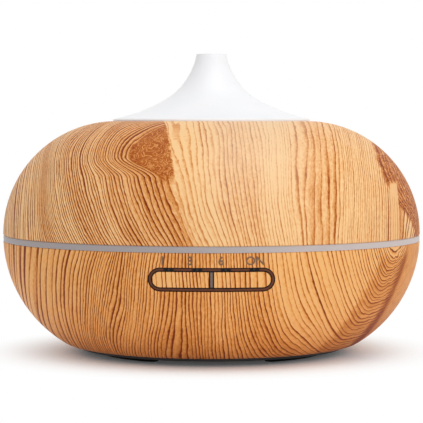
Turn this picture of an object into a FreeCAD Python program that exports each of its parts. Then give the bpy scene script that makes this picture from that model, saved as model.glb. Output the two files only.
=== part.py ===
"""Ultrasonic essential oil diffuser with a wood-grain shell, as a FreeCAD parametric document.

Millimetres. +Z is up, the origin is on the table under the middle of the object, and the buttons face -Y.
The body is a flattened round form turned about Z: the crown above the equator and the belly below it.
"""

import FreeCAD, Part
import math
import os
import Sketcher

Vector = FreeCAD.Vector
Placement = FreeCAD.Placement
Rotation = FreeCAD.Rotation

# ---------------------------------------------------------------------------------------------------
# Driving dimensions
# ---------------------------------------------------------------------------------------------------

SIZES = [
    # the turned body
    ("body_radius", 84.0, "greatest radius, at the equator"),
    ("crown_arc", 45.4, "radius of the crown's section"),
    ("belly_arc", 50.6, "radius of the belly's section"),
    ("hem_arc", 10.0, "radius where the belly turns under"),
    ("wood_wall", 2.2, "wall of both wood-grain shells"),
    ("crown_opening", 40.0, "radius of the opening round the spout"),
    ("hem_flat", 4.6, "width of the flat rim round the opening under the belly"),
    ("edge_break", 0.35, "chamfer of open edges"),
    ("fit", 0.3, "gap between mating mouldings"),
    ("slip", 0.1, "gap of a pin, shaft or screw in its hole"),
    # the spout, from its rim inwards: two tangent arcs
    ("spout_proud", 0.9, "height of the spout's rim above the crown"),
    ("spout_angle", 10.5, "degrees above level where the flare starts"),
    ("mouth_radius", 6.0, "outer radius of the spout's mouth"),
    ("flare_angle", 18.8, "degrees the flare turns"),
    ("neck_arc", 27.2, "radius of the neck's section"),
    ("neck_angle", 50.2, "degrees the neck turns"),
    ("spout_wall", 1.6, "wall of the spout"),
    ("flange_width", 4.8, "width of the spout's hidden flange"),
    ("flange_thickness", 2.0, "thickness of the spout's hidden flange"),
    # the white liner under the crown and the mist guide hung from it
    ("liner_wall", 1.6, "wall of the liner"),
    ("liner_lift", 0.6, "height of the liner's edge above the equator"),
    ("seat_reach", 2.0, "how far the liner's seat reaches inside the crown's opening"),
    ("guide_top", 32.0, "outer radius of the mist guide under its flange"),
    ("guide_foot", 25.5, "outer radius of the mist guide's lower end"),
    ("guide_lift", 4.9, "height of the mist guide's lower end above the tank's rim"),
    ("guide_wall", 1.5, "wall of the mist guide"),
    ("notch_half_width", 4.0, "half the width of a notch in the mist guide's foot"),
    ("notch_height", 5.0, "height of a notch in the mist guide's foot"),
    # the light ring at the seam
    ("ring_height", 2.4, "visible height of the light ring"),
    ("ring_inset", 0.15, "how far the ring's face lies inside the equator"),
    ("ring_lip", 1.6, "height of the ring's locating lip above the equator"),
    ("ring_plug", 1.0, "depth of the ring inside the lower shell"),
    ("ring_lip_wall", 1.5, "thickness of the locating lip"),
    ("liner_gap", 0.9, "gap between the locating lip and the cover's liner"),
    ("mark_half_width", 1.7, "half width of the locating mark on the ring"),
    ("mark_rise", 0.7, "height of the locating mark"),
    ("mark_proud", 0.12, "how far the locating mark stands out of the ring"),
    # the water tank
    ("tank_wall", 2.0, "wall and floor of the tank"),
    ("bowl_gap", 2.0, "gap between the tank's bowl and the switch board"),
    ("bowl_straight", 0.5, "straight wall between the bowl's arc and its shoulder"),
    ("shoulder_round", 1.8, "rounding of the tank's shoulder"),
    ("rim_flange", 1.2, "thickness of the tank's rim flange"),
    ("seal_thickness", 0.8, "thickness of the seal under the rim flange"),
    ("pit_radius", 19.5, "radius of the pit over the transducer"),
    ("pit_flare", 3.0, "run of the pit's sloping side"),
    ("pit_drop", 2.5, "depth of the pit"),
    ("pit_hole", 8.2, "radius of the hole over the transducer"),
    ("chimney_half_width", 6.0, "half the air passage, along X"),
    ("chimney_half_length", 9.0, "half the air passage, along Y"),
    ("chimney_wall", 1.6, "wall of the air chimney"),
    ("chimney_drop", 4.2, "depth of the chimney's top under the tank's rim"),
    ("chimney_round", 2.5, "corner radius of the air passage"),
    ("fill_height", 18.0, "height of the fill line above the tank floor"),
    ("fill_line_width", 0.8, "width of the raised fill line on the chimney"),
    ("fill_line_rise", 0.5, "how far the fill line stands out"),
    # the lamps under the light ring
    ("board_thickness", 1.2, "thickness of the circuit boards"),
    ("led_count", 12, "lamps under the light ring"),
    ("led_inset", 0.3, "distance of a lamp from the edge of its board"),
    ("led_width", 2.8, "width of a lamp"),
    ("led_length", 3.5, "length of a lamp"),
    ("led_height", 1.4, "height of a lamp"),
    # the ultrasonic transducer and the water probe
    ("disc_radius", 10.0, "radius of the ceramic disc"),
    ("disc_thickness", 1.2, "thickness of the ceramic disc"),
    ("seal_radius", 12.5, "outer radius of the disc's rubber seal"),
    ("seal_height", 3.2, "height of the disc's rubber seal"),
    ("clamp_opening", 6.0, "radius of the clamp ring's opening"),
    ("clamp_thickness", 1.2, "thickness of the clamp ring"),
    ("clamp_boss_wall", 1.2, "wall of a clamp screw's boss"),
    ("clamp_screw_length", 3.6, "length of a clamp screw under its head"),
    ("probe_radius", 1.2, "radius of the water level probe"),
    ("probe_place", 16.8, "distance of the probe from the axis"),
    ("probe_rise", 5.5, "height of the probe above the pit's floor"),
    # the underside
    ("foot_height", 1.9, "height of the rubber feet"),
    ("foot_margin", 4.3, "distance of a foot from the edge of the base opening"),
    ("foot_half_width", 3.0, "half the width of a foot"),
    ("foot_half_angle", 24.0, "half the span of a foot in degrees"),
    ("foot_angle", 57.0, "degrees from the front or the back to a foot"),
    ("foot_chamfer", 0.4, "chamfer of a foot's sole"),
    ("peg_radius", 1.5, "radius of a foot's pegs"),
    ("peg_length", 2.0, "length of a foot's pegs"),
    ("peg_angle", 10.0, "degrees from a foot's middle to its pegs"),
    ("plate_lip", 1.27, "thickness of the base plate's lip"),
    ("plate_overlap", 3.2, "how far the lip covers the shell's opening"),
    ("plate_thickness", 2.5, "thickness of the base plate"),
    ("vent_width", 2.2, "width of an air slot"),
    ("vent_length", 12.0, "length of an air slot"),
    ("vent_pitch", 3.6, "distance from one air slot to the next"),
    ("vent_count", 5, "air slots"),
    # the power inlet
    ("bay_half_width", 7.0, "half the width of the plug bay"),
    ("bay_margin", 3.3, "distance of the plug bay from the edge of the base opening"),
    ("bay_wall", 1.5, "wall of the plug bay"),
    ("gutter_half_width", 3.2, "half the width of the cable gutter"),
    ("gutter_tongue", 7.5, "length of the cable gutter's cover"),
    ("jack_width", 9.0, "width of the power jack"),
    ("jack_length", 12.0, "length of the power jack"),
    ("jack_height", 9.0, "height of the power jack"),
    ("jack_nose", 3.9, "outer radius of the jack's nose"),
    ("jack_bore", 3.15, "radius of the jack's bore"),
    ("jack_depth", 9.5, "depth of the jack's bore"),
    ("jack_pin", 1.0, "radius of the jack's centre pin"),
    # the fan, in its own frame
    ("fan_side", 25.0, "side of the fan's frame"),
    ("fan_depth", 10.0, "depth of the fan"),
    ("fan_margin", 1.8, "distance of the fan from the edge of the base opening"),
    ("fan_standoff", 1.4, "height of the fan above the base plate"),
    ("fan_corner", 1.5, "corner radius of the fan's frame"),
    ("fan_wall", 0.7, "wall of the fan's frame where it is thinnest"),
    ("fan_pin_inset", 2.5, "distance of the fan's pins from the sides of its frame"),
    ("fan_pin", 1.2, "radius of the fan's locating pins"),
    ("fan_pin_length", 4.0, "length of the pins inside the fan"),
    ("fan_floor", 1.2, "thickness of the fan's motor plate"),
    ("fan_strut", 1.8, "width of the fan's struts"),
    ("fan_struts", 4, "struts of the fan"),
    ("fan_tube", 2.6, "outer radius of the fan's bearing tube"),
    ("fan_tube_height", 5.5, "height of the fan's bearing tube"),
    ("stator_gap", 0.4, "gap between the windings and the hub"),
    ("stator_height", 4.4, "height of the fan's windings"),
    ("shaft_radius", 0.9, "radius of the fan's shaft"),
    ("hub_radius", 6.8, "radius of the fan's hub"),
    ("hub_wall", 1.0, "wall of the fan's hub"),
    ("hub_gap", 0.7, "gap between the hub and the motor plate"),
    ("blade_count", 7, "blades of the fan"),
    ("blade_gap", 0.9, "gap between the blades and the air passage"),
    ("blade_thickness", 0.7, "thickness of a blade"),
    ("root_chord", 6.4, "width of a blade at its root"),
    ("tip_chord", 6.8, "width of a blade at its tip"),
    ("root_angle", 42.0, "degrees from level at a blade's root"),
    ("tip_angle", 28.0, "degrees from level at a blade's tip"),
    ("blade_camber", 7.0, "radius of a blade's hollow side"),
    ("fan_seal_height", 2.2, "height of the foam seal on the fan"),
    ("fan_seal_wall", 1.6, "wall of the foam seal on the fan"),
    # screws
    ("screw_margin", 2.0, "distance of a base screw's head from the feet"),
    ("base_screw", 1.5, "radius of a base screw"),
    ("base_screw_head", 3.0, "radius of a base screw's head"),
    ("base_screw_length", 10.0, "length of a base screw under its head"),
    ("boss_wall", 2.0, "wall of a base screw's boss"),
    ("small_screw", 1.0, "radius of the small screws"),
    ("small_head", 2.0, "radius of the small screws' heads"),
    ("head_height", 1.3, "height of a screw's head"),
    # the buttons
    ("slot_drop", 12.3, "depth of the button slot under the equator"),
    ("slot_half_length", 23.2, "half the length of the button slot"),
    ("slot_half_height", 4.4, "half the height of the button slot"),
    ("bezel_wall", 1.35, "width of the smoked bezel"),
    ("bezel_divider", 1.6, "width of the bar between the buttons"),
    ("bezel_sink", 0.3, "depth of the bezel's face under the shell's surface"),
    ("bezel_margin", 1.1, "width of the bezel's hidden flange"),
    ("bezel_flange", 1.2, "thickness of the bezel's hidden flange"),
    ("bezel_depth", 6.0, "distance of the bezel's back behind the shell's wall"),
    ("ear_half_height", 1.9, "half the height of the bezel's ears"),
    ("button_gap", 0.18, "gap round a button in its bezel"),
    ("button_travel", 0.5, "travel of a button"),
    ("button_catch", 1.0, "how far a button's catch overlaps its bezel"),
    ("catch_thickness", 1.0, "thickness of a button's catch"),
    ("catch_tab", 2.8, "half the width of the catch's upper tab"),
    ("stem_length", 0.5, "length of a button's stem"),
    ("switch_side", 6.0, "side of a tact switch"),
    ("switch_height", 3.2, "height of a tact switch"),
    ("plunger_radius", 1.7, "radius of a tact switch's plunger"),
    ("plunger_height", 0.9, "height of the plunger above its switch"),
    ("plunger_root", 0.7, "depth of the plunger in its switch"),
    ("switch_board_half_height", 5.6, "half the height of the switch board"),
    ("switch_screw_length", 4.0, "length of a switch board screw under its head"),
    ("indicator_pitch", 10.4, "distance from one indicator lamp to the next"),
    ("indicator_radius", 0.4, "radius of an indicator's light pipe"),
    ("indicator_sink", 0.2, "depth of a light pipe's end under the bezel's face"),
    # the driver board
    ("driver_margin", 3.2, "distance of the board's outer screws from the edge of the base opening"),
    ("part_gap", 0.8, "gap between the parts that stand on the driver board"),
    ("driver_lift", 3.6, "height of the driver board above the base plate"),
    ("driver_hole_inset", 3.0, "distance of a board screw from the edge"),
    ("driver_post_wall", 1.2, "wall of a post under the driver board"),
    ("coil_radius", 4.4, "radius of the choke coil"),
    ("coil_height", 7.0, "height of the choke coil"),
    ("coil_waist", 0.8, "depth of the choke coil's winding"),
    ("capacitor_radius", 3.1, "radius of a capacitor"),
    ("capacitor_height", 7.6, "height of a capacitor"),
    ("sink_length", 12.0, "length of the heat sink"),
    ("sink_width", 7.0, "width of the heat sink"),
    ("sink_height", 7.5, "height of the heat sink"),
    ("fin_gap", 1.2, "gap between the heat sink's fins"),
    ("fin_count", 5, "gaps between the heat sink's fins"),
    ("socket_width", 5.0, "width of a wire socket"),
    ("socket_length", 7.4, "length of a wire socket"),
    ("socket_height", 5.2, "height of a wire socket"),
    ("chip_length", 10.0, "length of the controller chip"),
    ("chip_width", 6.0, "width of the controller chip"),
    ("chip_height", 1.7, "height of the controller chip"),
]

FRONT = -90.0  # the direction of the buttons, in degrees from +X


class Size:
    """A value together with the spreadsheet formula that gives it."""

    def __init__(self, value, formula):
        self.value = float(value)
        self.formula = formula

    @staticmethod
    def of(thing):
        return thing if isinstance(thing, Size) else Size(thing, repr(float(thing)))

    def join(self, other, sign, value):
        return Size(value, "(%s %s %s)" % (self.formula, sign, Size.of(other).formula))

    def __add__(self, other):
        return self.join(other, "+", self.value + Size.of(other).value)

    def __sub__(self, other):
        return self.join(other, "-", self.value - Size.of(other).value)

    def __mul__(self, other):
        return self.join(other, "*", self.value * Size.of(other).value)

    def __truediv__(self, other):
        return self.join(other, "/", self.value / Size.of(other).value)

    def __radd__(self, other):
        return Size.of(other) + self

    def __rsub__(self, other):
        return Size.of(other) - self

    def __rmul__(self, other):
        return Size.of(other) * self

    def __neg__(self):
        return Size.of(0) - self


def root(size):
    return Size(math.sqrt(size.value), "sqrt(%s)" % size.formula)


def cosine(degrees):
    degrees = Size.of(degrees)
    return Size(math.cos(math.radians(degrees.value)), "cos(%s)" % degrees.formula)


def sine(degrees):
    degrees = Size.of(degrees)
    return Size(math.sin(math.radians(degrees.value)), "sin(%s)" % degrees.formula)


class Sizes:
    """The spreadsheet's cells as attributes, each a Size."""

    def __init__(self, document):
        self.sheet = document.addObject("Spreadsheet::Sheet", "Sizes")
        for row, (alias, value, note) in enumerate(SIZES, 1):
            self.sheet.set("A%d" % row, str(value))
            self.sheet.setAlias("A%d" % row, alias)
            self.sheet.set("B%d" % row, note)
            setattr(self, alias, Size(value, "Sizes." + alias))


doc = FreeCAD.newDocument("diffuser")
s = Sizes(doc)
doc.recompute()

pieces = []  # the bodies and groups that are written out


# ---------------------------------------------------------------------------------------------------
# Working with bodies and sketches
# ---------------------------------------------------------------------------------------------------


def bind(feature, prop, size):
    """Sets a property to a size and ties it to the spreadsheet."""
    if isinstance(size, Size):
        feature.setExpression(prop, size.formula)
        size = size.value
    if "." not in prop:
        setattr(feature, prop, size)


def new_body(label):
    body = doc.addObject("PartDesign::Body", label)
    body.Label = label
    pieces.append(body)
    return body


def origin_part(body, role):
    return next(part for part in body.Origin.OriginFeatures if part.Role == role)


def add_sketch(body, plane="XZ", offset=(0, 0, 0)):
    """A sketch on one of the body's origin planes, moved by offset in the sketch's own axes.
    On XZ the sketch's up is +Z and its normal is -Y; on XY the normal is +Z."""
    sketch = body.newObject("Sketcher::SketchObject", body.Name + "_sketch")
    sketch.AttachmentSupport = (origin_part(body, plane + "_Plane"), [""])
    sketch.MapMode = "FlatFace"
    place = [Size.of(part) for part in offset]
    sketch.AttachmentOffset = Placement(Vector(*[part.value for part in place]), Rotation())
    for axis, part in zip("xyz", offset):
        if isinstance(part, Size):
            sketch.setExpression("AttachmentOffset.Base." + axis, part.formula)
    return sketch


def arc_centre(first, last, radius):
    """The centre of the smaller arc between two points, counterclockwise for a positive radius."""
    middle = (first + last) * 0.5
    chord = last - first
    rise = math.sqrt(max(radius * radius - chord.Length * chord.Length / 4.0, 0.0))
    side = Vector(-chord.y, chord.x, 0).normalize()
    return middle + side * math.copysign(rise, radius)


def arc_edge(first, last, radius):
    centre = arc_centre(first, last, radius)
    start, end = (first, last) if radius > 0 else (last, first)
    angles = [math.atan2(p.y - centre.y, p.x - centre.x) for p in (start, end)]
    return Part.ArcOfCircle(Part.Circle(centre, Vector(0, 0, 1), abs(radius)), *angles)


def outline(sketch, corners):
    """A closed outline through corners (across, up) or (across, up, arc radius). The radius belongs to
    the edge that arrives at its corner, and a positive one turns counterclockwise."""
    base = sketch.GeometryCount
    points = [Vector(Size.of(c[0]).value, Size.of(c[1]).value, 0) for c in corners]
    edges, rules, ties = [], [], []

    def rule(size, kind, *where):
        rules.append(Sketcher.Constraint(kind, *where, Size.of(size).value))
        ties.append(size)

    ends = []
    for k, corner in enumerate(corners):
        first, last = points[k - 1], points[k]
        geometry = base + len(edges)
        if len(corner) == 3:
            radius = Size.of(corner[2])
            edges.append(arc_edge(first, last, radius.value))
            ends.append((geometry, 1, 2) if radius.value > 0 else (geometry, 2, 1))
            rule(radius if radius.value > 0 else -radius, "Radius", geometry)
        else:
            edges.append(Part.LineSegment(first, last))
            ends.append((geometry, 1, 2))
        rule(corner[0], "DistanceX", -1, 1, geometry, ends[-1][2])
        rule(corner[1], "DistanceY", -1, 1, geometry, ends[-1][2])
    joins = []
    for k, end in enumerate(ends):
        before = ends[k - 1]
        joins.append(Sketcher.Constraint("Coincident", before[0], before[2], end[0], end[1]))
    sketch.addGeometry(edges)
    first_rule = sketch.ConstraintCount
    sketch.addConstraint(rules + joins)
    for k, size in enumerate(ties):
        if isinstance(size, Size):
            sketch.setExpression("Constraints[%d]" % (first_rule + k), size.formula)
    return sketch


def circle(sketch, across, up, radius):
    geometry = sketch.GeometryCount
    centre = Vector(Size.of(across).value, Size.of(up).value, 0)
    sketch.addGeometry(Part.Circle(centre, Vector(0, 0, 1), Size.of(radius).value))
    for size, rule in (
        (radius, ("Radius", geometry)),
        (across, ("DistanceX", -1, 1, geometry, 3)),
        (up, ("DistanceY", -1, 1, geometry, 3)),
    ):
        index = sketch.addConstraint(Sketcher.Constraint(*rule, Size.of(size).value))
        if isinstance(size, Size):
            sketch.setExpression("Constraints[%d]" % index, size.formula)
    return sketch


def rectangle(sketch, left, right, low, high):
    return outline(sketch, [(left, low), (right, low), (right, high), (left, high)])


def rounded(left, right, low, high, radius):
    """The corners of a rectangle with round corners."""
    return [
        (left + radius, low, radius),
        (right - radius, low),
        (right, low + radius, radius),
        (right, high - radius),
        (right - radius, high, radius),
        (left + radius, high),
        (left, high - radius, radius),
        (left, low + radius),
    ]


def stadium(half_length, half_height):
    """The corners of a bar with round ends, centred on the button slot."""
    straight = half_length - half_height
    low, middle, high = slot_height - half_height, slot_height, slot_height + half_height
    return [
        (straight, low),
        (half_length, middle, half_height),
        (straight, high, half_height),
        (-straight, high),
        (-half_length, middle, half_height),
        (-straight, low, half_height),
    ]


def half_stadium(side, start, end, half_height):
    """The corners of a bar on one side of the middle, with a square inner and a round outer end."""
    return [
        (side * start, slot_height - side * half_height),
        (side * (end - half_height), slot_height - side * half_height),
        (side * end, slot_height, half_height),
        (side * (end - half_height), slot_height + side * half_height, half_height),
        (side * start, slot_height + side * half_height),
    ]


def finish(body, feature):
    body.Tip = feature
    doc.recompute()
    return feature


def revolve(body, sketch, cut=False):
    kind = "PartDesign::Groove" if cut else "PartDesign::Revolution"
    feature = body.newObject(kind, body.Name + "_turn")
    feature.Profile = sketch
    feature.ReferenceAxis = (sketch, ["V_Axis"])
    feature.Angle = 360.0
    return finish(body, feature)


def pad(body, sketch, length, forwards=True):
    feature = body.newObject("PartDesign::Pad", body.Name + "_pad")
    feature.Profile = sketch
    bind(feature, "Length", length)
    feature.Reversed = not forwards
    return finish(body, feature)


def pocket(body, sketch, length, forwards=True):
    """Cuts along the sketch's normal, or against it."""
    feature = body.newObject("PartDesign::Pocket", body.Name + "_pocket")
    feature.Profile = sketch
    bind(feature, "Length", length)
    feature.Reversed = forwards
    return finish(body, feature)


def around(body, feature, count):
    pattern = body.newObject("PartDesign::PolarPattern", body.Name + "_around")
    pattern.Originals = [feature]
    pattern.Axis = (origin_part(body, "Z_Axis"), [""])
    pattern.Angle = 360.0
    pattern.Occurrences = int(count.value)
    pattern.setExpression("Occurrences", count.formula)
    return finish(body, pattern)


def turned(label, corners):
    """A piece turned about Z from one closed section."""
    body = new_body(label)
    revolve(body, outline(add_sketch(body), corners))
    return body


def block(label, left, right, near, far, low, high):
    """A rectangular piece between two values on each axis."""
    body = new_body(label)
    pad(body, rectangle(add_sketch(body, "XY", (0, 0, low)), left, right, near, far), high - low)
    return body


def circles(body, plane, depth, places, radius):
    sketch = add_sketch(body, plane, (0, 0, depth))
    for across, up in places:
        circle(sketch, across, up, radius)
    return sketch


def cut_holes(body, places, low, depth, radius, plane="XY"):
    pocket(body, circles(body, plane, low, places, radius), depth)


def polar(radius, degrees):
    """The place at a radius and a direction from +X."""
    return radius * cosine(degrees), radius * sine(degrees)


def add_screws(label, places, seat, length, shaft, head, plane="XY", upwards=True):
    """Equal slotted screws whose heads lie on a seat, with the shafts along the plane's normal or
    against it."""
    body = new_body(label)
    height = s.head_height
    pad(body, circles(body, plane, seat - height if upwards else seat, places, head), height)
    start = seat - height / 2 if upwards else seat - length
    pad(body, circles(body, plane, start, places, shaft), length + height / 2)
    drive = add_sketch(body, plane, (0, 0, seat - height if upwards else seat + height / 2))
    for across, up in places:
        rectangle(
            drive, across - shaft, across + shaft, up - s.edge_break / 2, up + s.edge_break / 2
        )
    pocket(body, drive, height / 2)
    return body


# ---------------------------------------------------------------------------------------------------
# Levels and surfaces that several pieces share
# ---------------------------------------------------------------------------------------------------

# the fan stands beside the pit, and the base opening is cut round it; the pit's sloping side is as
# thick as its floor
pit_run = s.tank_wall * (root(s.pit_flare * s.pit_flare + s.pit_drop * s.pit_drop) - s.pit_flare)
pit_run = pit_run / s.pit_drop
fan_place = s.pit_radius + s.pit_flare + pit_run + s.fit + s.fan_side / 2
base_opening = fan_place + s.fan_side / 2 + s.fan_margin

# the turned body: the belly's arc turns until it meets the hem's
underside = s.foot_height + s.plate_lip
hem_height = underside + s.hem_arc
hem_axis = base_opening + s.hem_flat
crown_axis = s.body_radius - s.crown_arc
belly_axis = s.body_radius - s.belly_arc
belly_across = (hem_axis - belly_axis) / (s.belly_arc - s.hem_arc)
belly_down = root(1 - belly_across * belly_across)
equator = hem_height + (s.belly_arc - s.hem_arc) * belly_down
seam = equator - s.ring_height


def crown_height(radius, inset):
    """Height of the crown's surface, inset below the outside, at a radius."""
    arc, across = s.crown_arc - inset, radius - crown_axis
    return equator + root(arc * arc - across * across)


def belly_radius(height, inset):
    """Radius of the belly's surface, inset inside the outside, at a height."""
    arc, down = s.belly_arc - inset, equator - height
    return belly_axis + root(arc * arc - down * down)


def belly_turn_point(inset):
    """Where the belly's arc meets the hem's arc."""
    arc = s.belly_arc - inset
    return belly_axis + arc * belly_across, equator - arc * belly_down


# the spout in the crown
spout_rim = s.crown_opening - s.fit
rim_height = crown_height(s.crown_opening, 0) + s.spout_proud
spout_flange = spout_rim + s.flange_width
spout_seat = crown_height(spout_flange, s.wood_wall) - s.fit - s.flange_thickness
liner_seat = s.crown_opening - s.seat_reach
guide_screws = [polar(spout_rim + s.flange_width / 2, FRONT + 120 * k) for k in range(3)]

# the stack inside the base, from the table up
plate_top = s.foot_height + s.plate_thickness
fan_bottom = plate_top + s.fan_standoff
tank_bottom = fan_bottom + s.fan_depth + s.fan_seal_height
tank_floor = tank_bottom + s.tank_wall
pit_bottom = tank_bottom - s.pit_drop
clamp_top = pit_bottom - s.seal_height
nut_bottom = pit_bottom - s.head_height
ring_bottom = seam - s.ring_plug
led_board_top = ring_bottom - s.fit - s.led_height
lip_top = equator + s.ring_lip
flange_bottom = lip_top + s.seal_thickness
rim_top = flange_bottom + s.rim_flange

# the buttons: distances from the axis towards the front
slot_height = equator - s.slot_drop
bezel_back = belly_radius(slot_height, s.wood_wall) - s.bezel_depth
catch_front = bezel_back - s.slip
catch_back = catch_front - s.catch_thickness
plunger_front = catch_back - s.stem_length
switch_front = plunger_front - s.plunger_height
board_front = switch_front - s.switch_height
board_back = board_front - s.board_thickness
window_end = s.slot_half_length - s.bezel_wall
window_half = s.slot_half_height - s.bezel_wall
button_middle = (window_end + s.bezel_divider / 2) / 2
ear_place = s.slot_half_length + s.ear_half_height
switch_screws = [(side * ear_place, slot_height) for side in (-1, 1)]
indicator_height = slot_height + s.slot_half_height - s.bezel_wall / 2
indicators = [(k * s.indicator_pitch, indicator_height) for k in (-1.5, -0.5, 0.5, 1.5)]

# the tank's section
lip_outer = s.body_radius - s.wood_wall - s.fit - s.liner_wall - s.liner_gap
ring_inner = lip_outer - s.ring_lip_wall
tank_radius = ring_inner - s.fit - s.tank_wall
bowl_radius = board_back - s.bowl_gap - s.tank_wall
bowl_arc = led_board_top - tank_floor - s.bowl_straight
floor_edge = bowl_radius - bowl_arc
chimney_top = rim_top - s.chimney_drop

# what lies on the base plate
fan_bore = s.fan_side / 2 - s.fan_wall
fan_pin_place = s.fan_side / 2 - s.fan_pin_inset
fan_pins = [(fan_place + i * fan_pin_place, j * fan_pin_place) for i in (-1, 1) for j in (-1, 1)]
clamp_screw_ring = s.seal_radius + s.fit + s.small_screw + s.clamp_boss_wall
clamp_radius = clamp_screw_ring + s.small_screw + s.clamp_boss_wall
clamp_screws = [polar(clamp_screw_ring, 120 * k) for k in range(3)]
foot_radius = base_opening - s.foot_margin - s.foot_half_width
base_screw_radius = foot_radius - s.foot_half_width - s.screw_margin - s.base_screw_head
base_screws = [polar(base_screw_radius, 45 + 90 * k) for k in range(4)]
jack_back = clamp_radius + s.fit
bay_start = jack_back + s.jack_length + s.bay_wall
bay_end = base_opening - s.bay_margin
bay_roof = plate_top + s.jack_height
jack_axis = plate_top + s.jack_height / 2
gutter_top = underside + s.wood_wall + s.fit
driver_half_length = s.driver_hole_inset + s.small_head + s.part_gap + s.fit + s.socket_length
driver_half_width = 2 * s.fit + s.sink_width + s.part_gap + 2 * s.coil_radius
driver_holes = driver_half_length - s.driver_hole_inset, driver_half_width - s.driver_hole_inset
driver_reach = base_opening - s.driver_margin
driver_reach = root(driver_reach * driver_reach - driver_holes[1] * driver_holes[1])
driver_middle = driver_holes[0] - driver_reach
driver_screws = [
    (driver_middle + i * driver_holes[0], j * driver_holes[1]) for i in (-1, 1) for j in (-1, 1)
]
FEET = {
    "foot_front_right": FRONT + s.foot_angle,
    "foot_front_left": FRONT - s.foot_angle,
    "foot_rear_right": -FRONT - s.foot_angle,
    "foot_rear_left": -FRONT + s.foot_angle,
}
pegs = [
    polar(foot_radius, middle + turn)
    for middle in FEET.values()
    for turn in (-s.peg_angle, s.peg_angle)
]


# ---------------------------------------------------------------------------------------------------
# The cover, which lifts off
# ---------------------------------------------------------------------------------------------------


def make_top_shell():
    cut = s.edge_break
    inner = s.body_radius - s.wood_wall
    face = crown_axis + root(s.crown_arc * s.crown_arc - cut * cut)
    turned(
        "top_shell",
        [
            (inner, equator, s.wood_wall - s.crown_arc),
            (face - cut, equator),
            (face, equator + cut),
            (s.crown_opening + cut, crown_height(s.crown_opening + cut, 0), s.crown_arc),
            (s.crown_opening, crown_height(s.crown_opening, 0) - cut),
            (s.crown_opening, crown_height(s.crown_opening, s.wood_wall)),
        ],
    )


def make_mist_spout():
    """A trumpet whose section is two tangent arcs, with a flange that hooks under the crown."""
    wall = s.spout_wall
    first, second = s.spout_angle + s.flare_angle, s.spout_angle + s.flare_angle + s.neck_angle
    run = spout_rim - s.mouth_radius - s.neck_arc * (sine(second) - sine(first))
    flare_arc = run / (sine(first) - sine(s.spout_angle))
    flare = (
        spout_rim + flare_arc * sine(s.spout_angle),
        rim_height + flare_arc * cosine(s.spout_angle),
    )
    knee = flare[0] - flare_arc * sine(first), flare[1] - flare_arc * cosine(first)
    neck = knee[0] + s.neck_arc * sine(first), knee[1] + s.neck_arc * cosine(first)

    def on_flare(radius, arc):
        across = flare[0] - radius
        return flare[1] - root(arc * arc - across * across)

    def on_arc(centre, arc, slope):
        return centre[0] - arc * sine(slope), centre[1] - arc * cosine(slope)

    outer_lip = on_arc(neck, s.neck_arc, second)
    inner_lip = on_arc(neck, s.neck_arc + wall, second)
    inner_knee = on_arc(flare, flare_arc + wall, first)
    collar = spout_rim - wall
    spout = turned(
        "mist_spout",
        [
            inner_lip,
            (*inner_knee, s.neck_arc + wall),
            (collar, on_flare(collar, flare_arc + wall), flare_arc + wall),
            (collar, spout_seat),
            (spout_flange, spout_seat),
            (spout_flange, spout_seat + s.flange_thickness),
            (spout_rim, spout_seat + s.flange_thickness),
            (spout_rim, rim_height - s.edge_break),
            (spout_rim - s.edge_break, on_flare(spout_rim - s.edge_break, flare_arc)),
            (*knee, -flare_arc),
            (*outer_lip, -s.neck_arc),
        ],
    )
    cut_holes(spout, guide_screws, spout_seat, s.flange_thickness, s.small_screw + s.slip)


def make_cover_liner():
    outer = s.crown_arc - s.wood_wall - s.fit
    inner = outer - s.liner_wall
    edge = equator + s.liner_lift
    step = spout_flange + s.fit
    base = spout_seat - s.liner_wall

    def reach(arc, height):
        up = height - equator
        return crown_axis + root(arc * arc - up * up)

    def rise(arc, radius):
        across = radius - crown_axis
        return equator + root(arc * arc - across * across)

    liner = turned(
        "cover_liner",
        [
            (reach(inner, edge), edge, -inner),
            (reach(outer, edge), edge),
            (step, rise(outer, step), outer),
            (step, spout_seat),
            (liner_seat, spout_seat),
            (liner_seat, base),
            (step + s.liner_wall, base),
            (step + s.liner_wall, rise(inner, step + s.liner_wall)),
        ],
    )
    cut_holes(liner, guide_screws, base, s.liner_wall, s.small_screw + s.slip)


def make_mist_guide():
    """A funnel that leads the mist from the water to the spout."""
    top = spout_seat - s.liner_wall
    low = rim_top + s.guide_lift
    guide = turned(
        "mist_guide",
        [
            (s.guide_foot - s.guide_wall, low),
            (s.guide_foot, low),
            (s.guide_top, top - s.guide_wall),
            (spout_flange, top - s.guide_wall),
            (spout_flange, top),
            (s.guide_top - s.guide_wall, top),
        ],
    )
    cut_holes(guide, guide_screws, top - s.guide_wall, s.guide_wall, s.small_screw + s.slip)
    for plane in ("XZ", "YZ"):
        notch = add_sketch(guide, plane, (0, 0, -s.guide_top))
        half = s.notch_half_width
        rectangle(notch, -half, half, low, low + s.notch_height)
        pocket(guide, notch, 2 * s.guide_top)
    length = s.guide_wall + s.liner_wall + s.flange_thickness
    add_screws("guide_screws", guide_screws, top - s.guide_wall, length, s.small_screw, s.small_head)


# ---------------------------------------------------------------------------------------------------
# The base: shell, light ring and water tank
# ---------------------------------------------------------------------------------------------------


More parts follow.
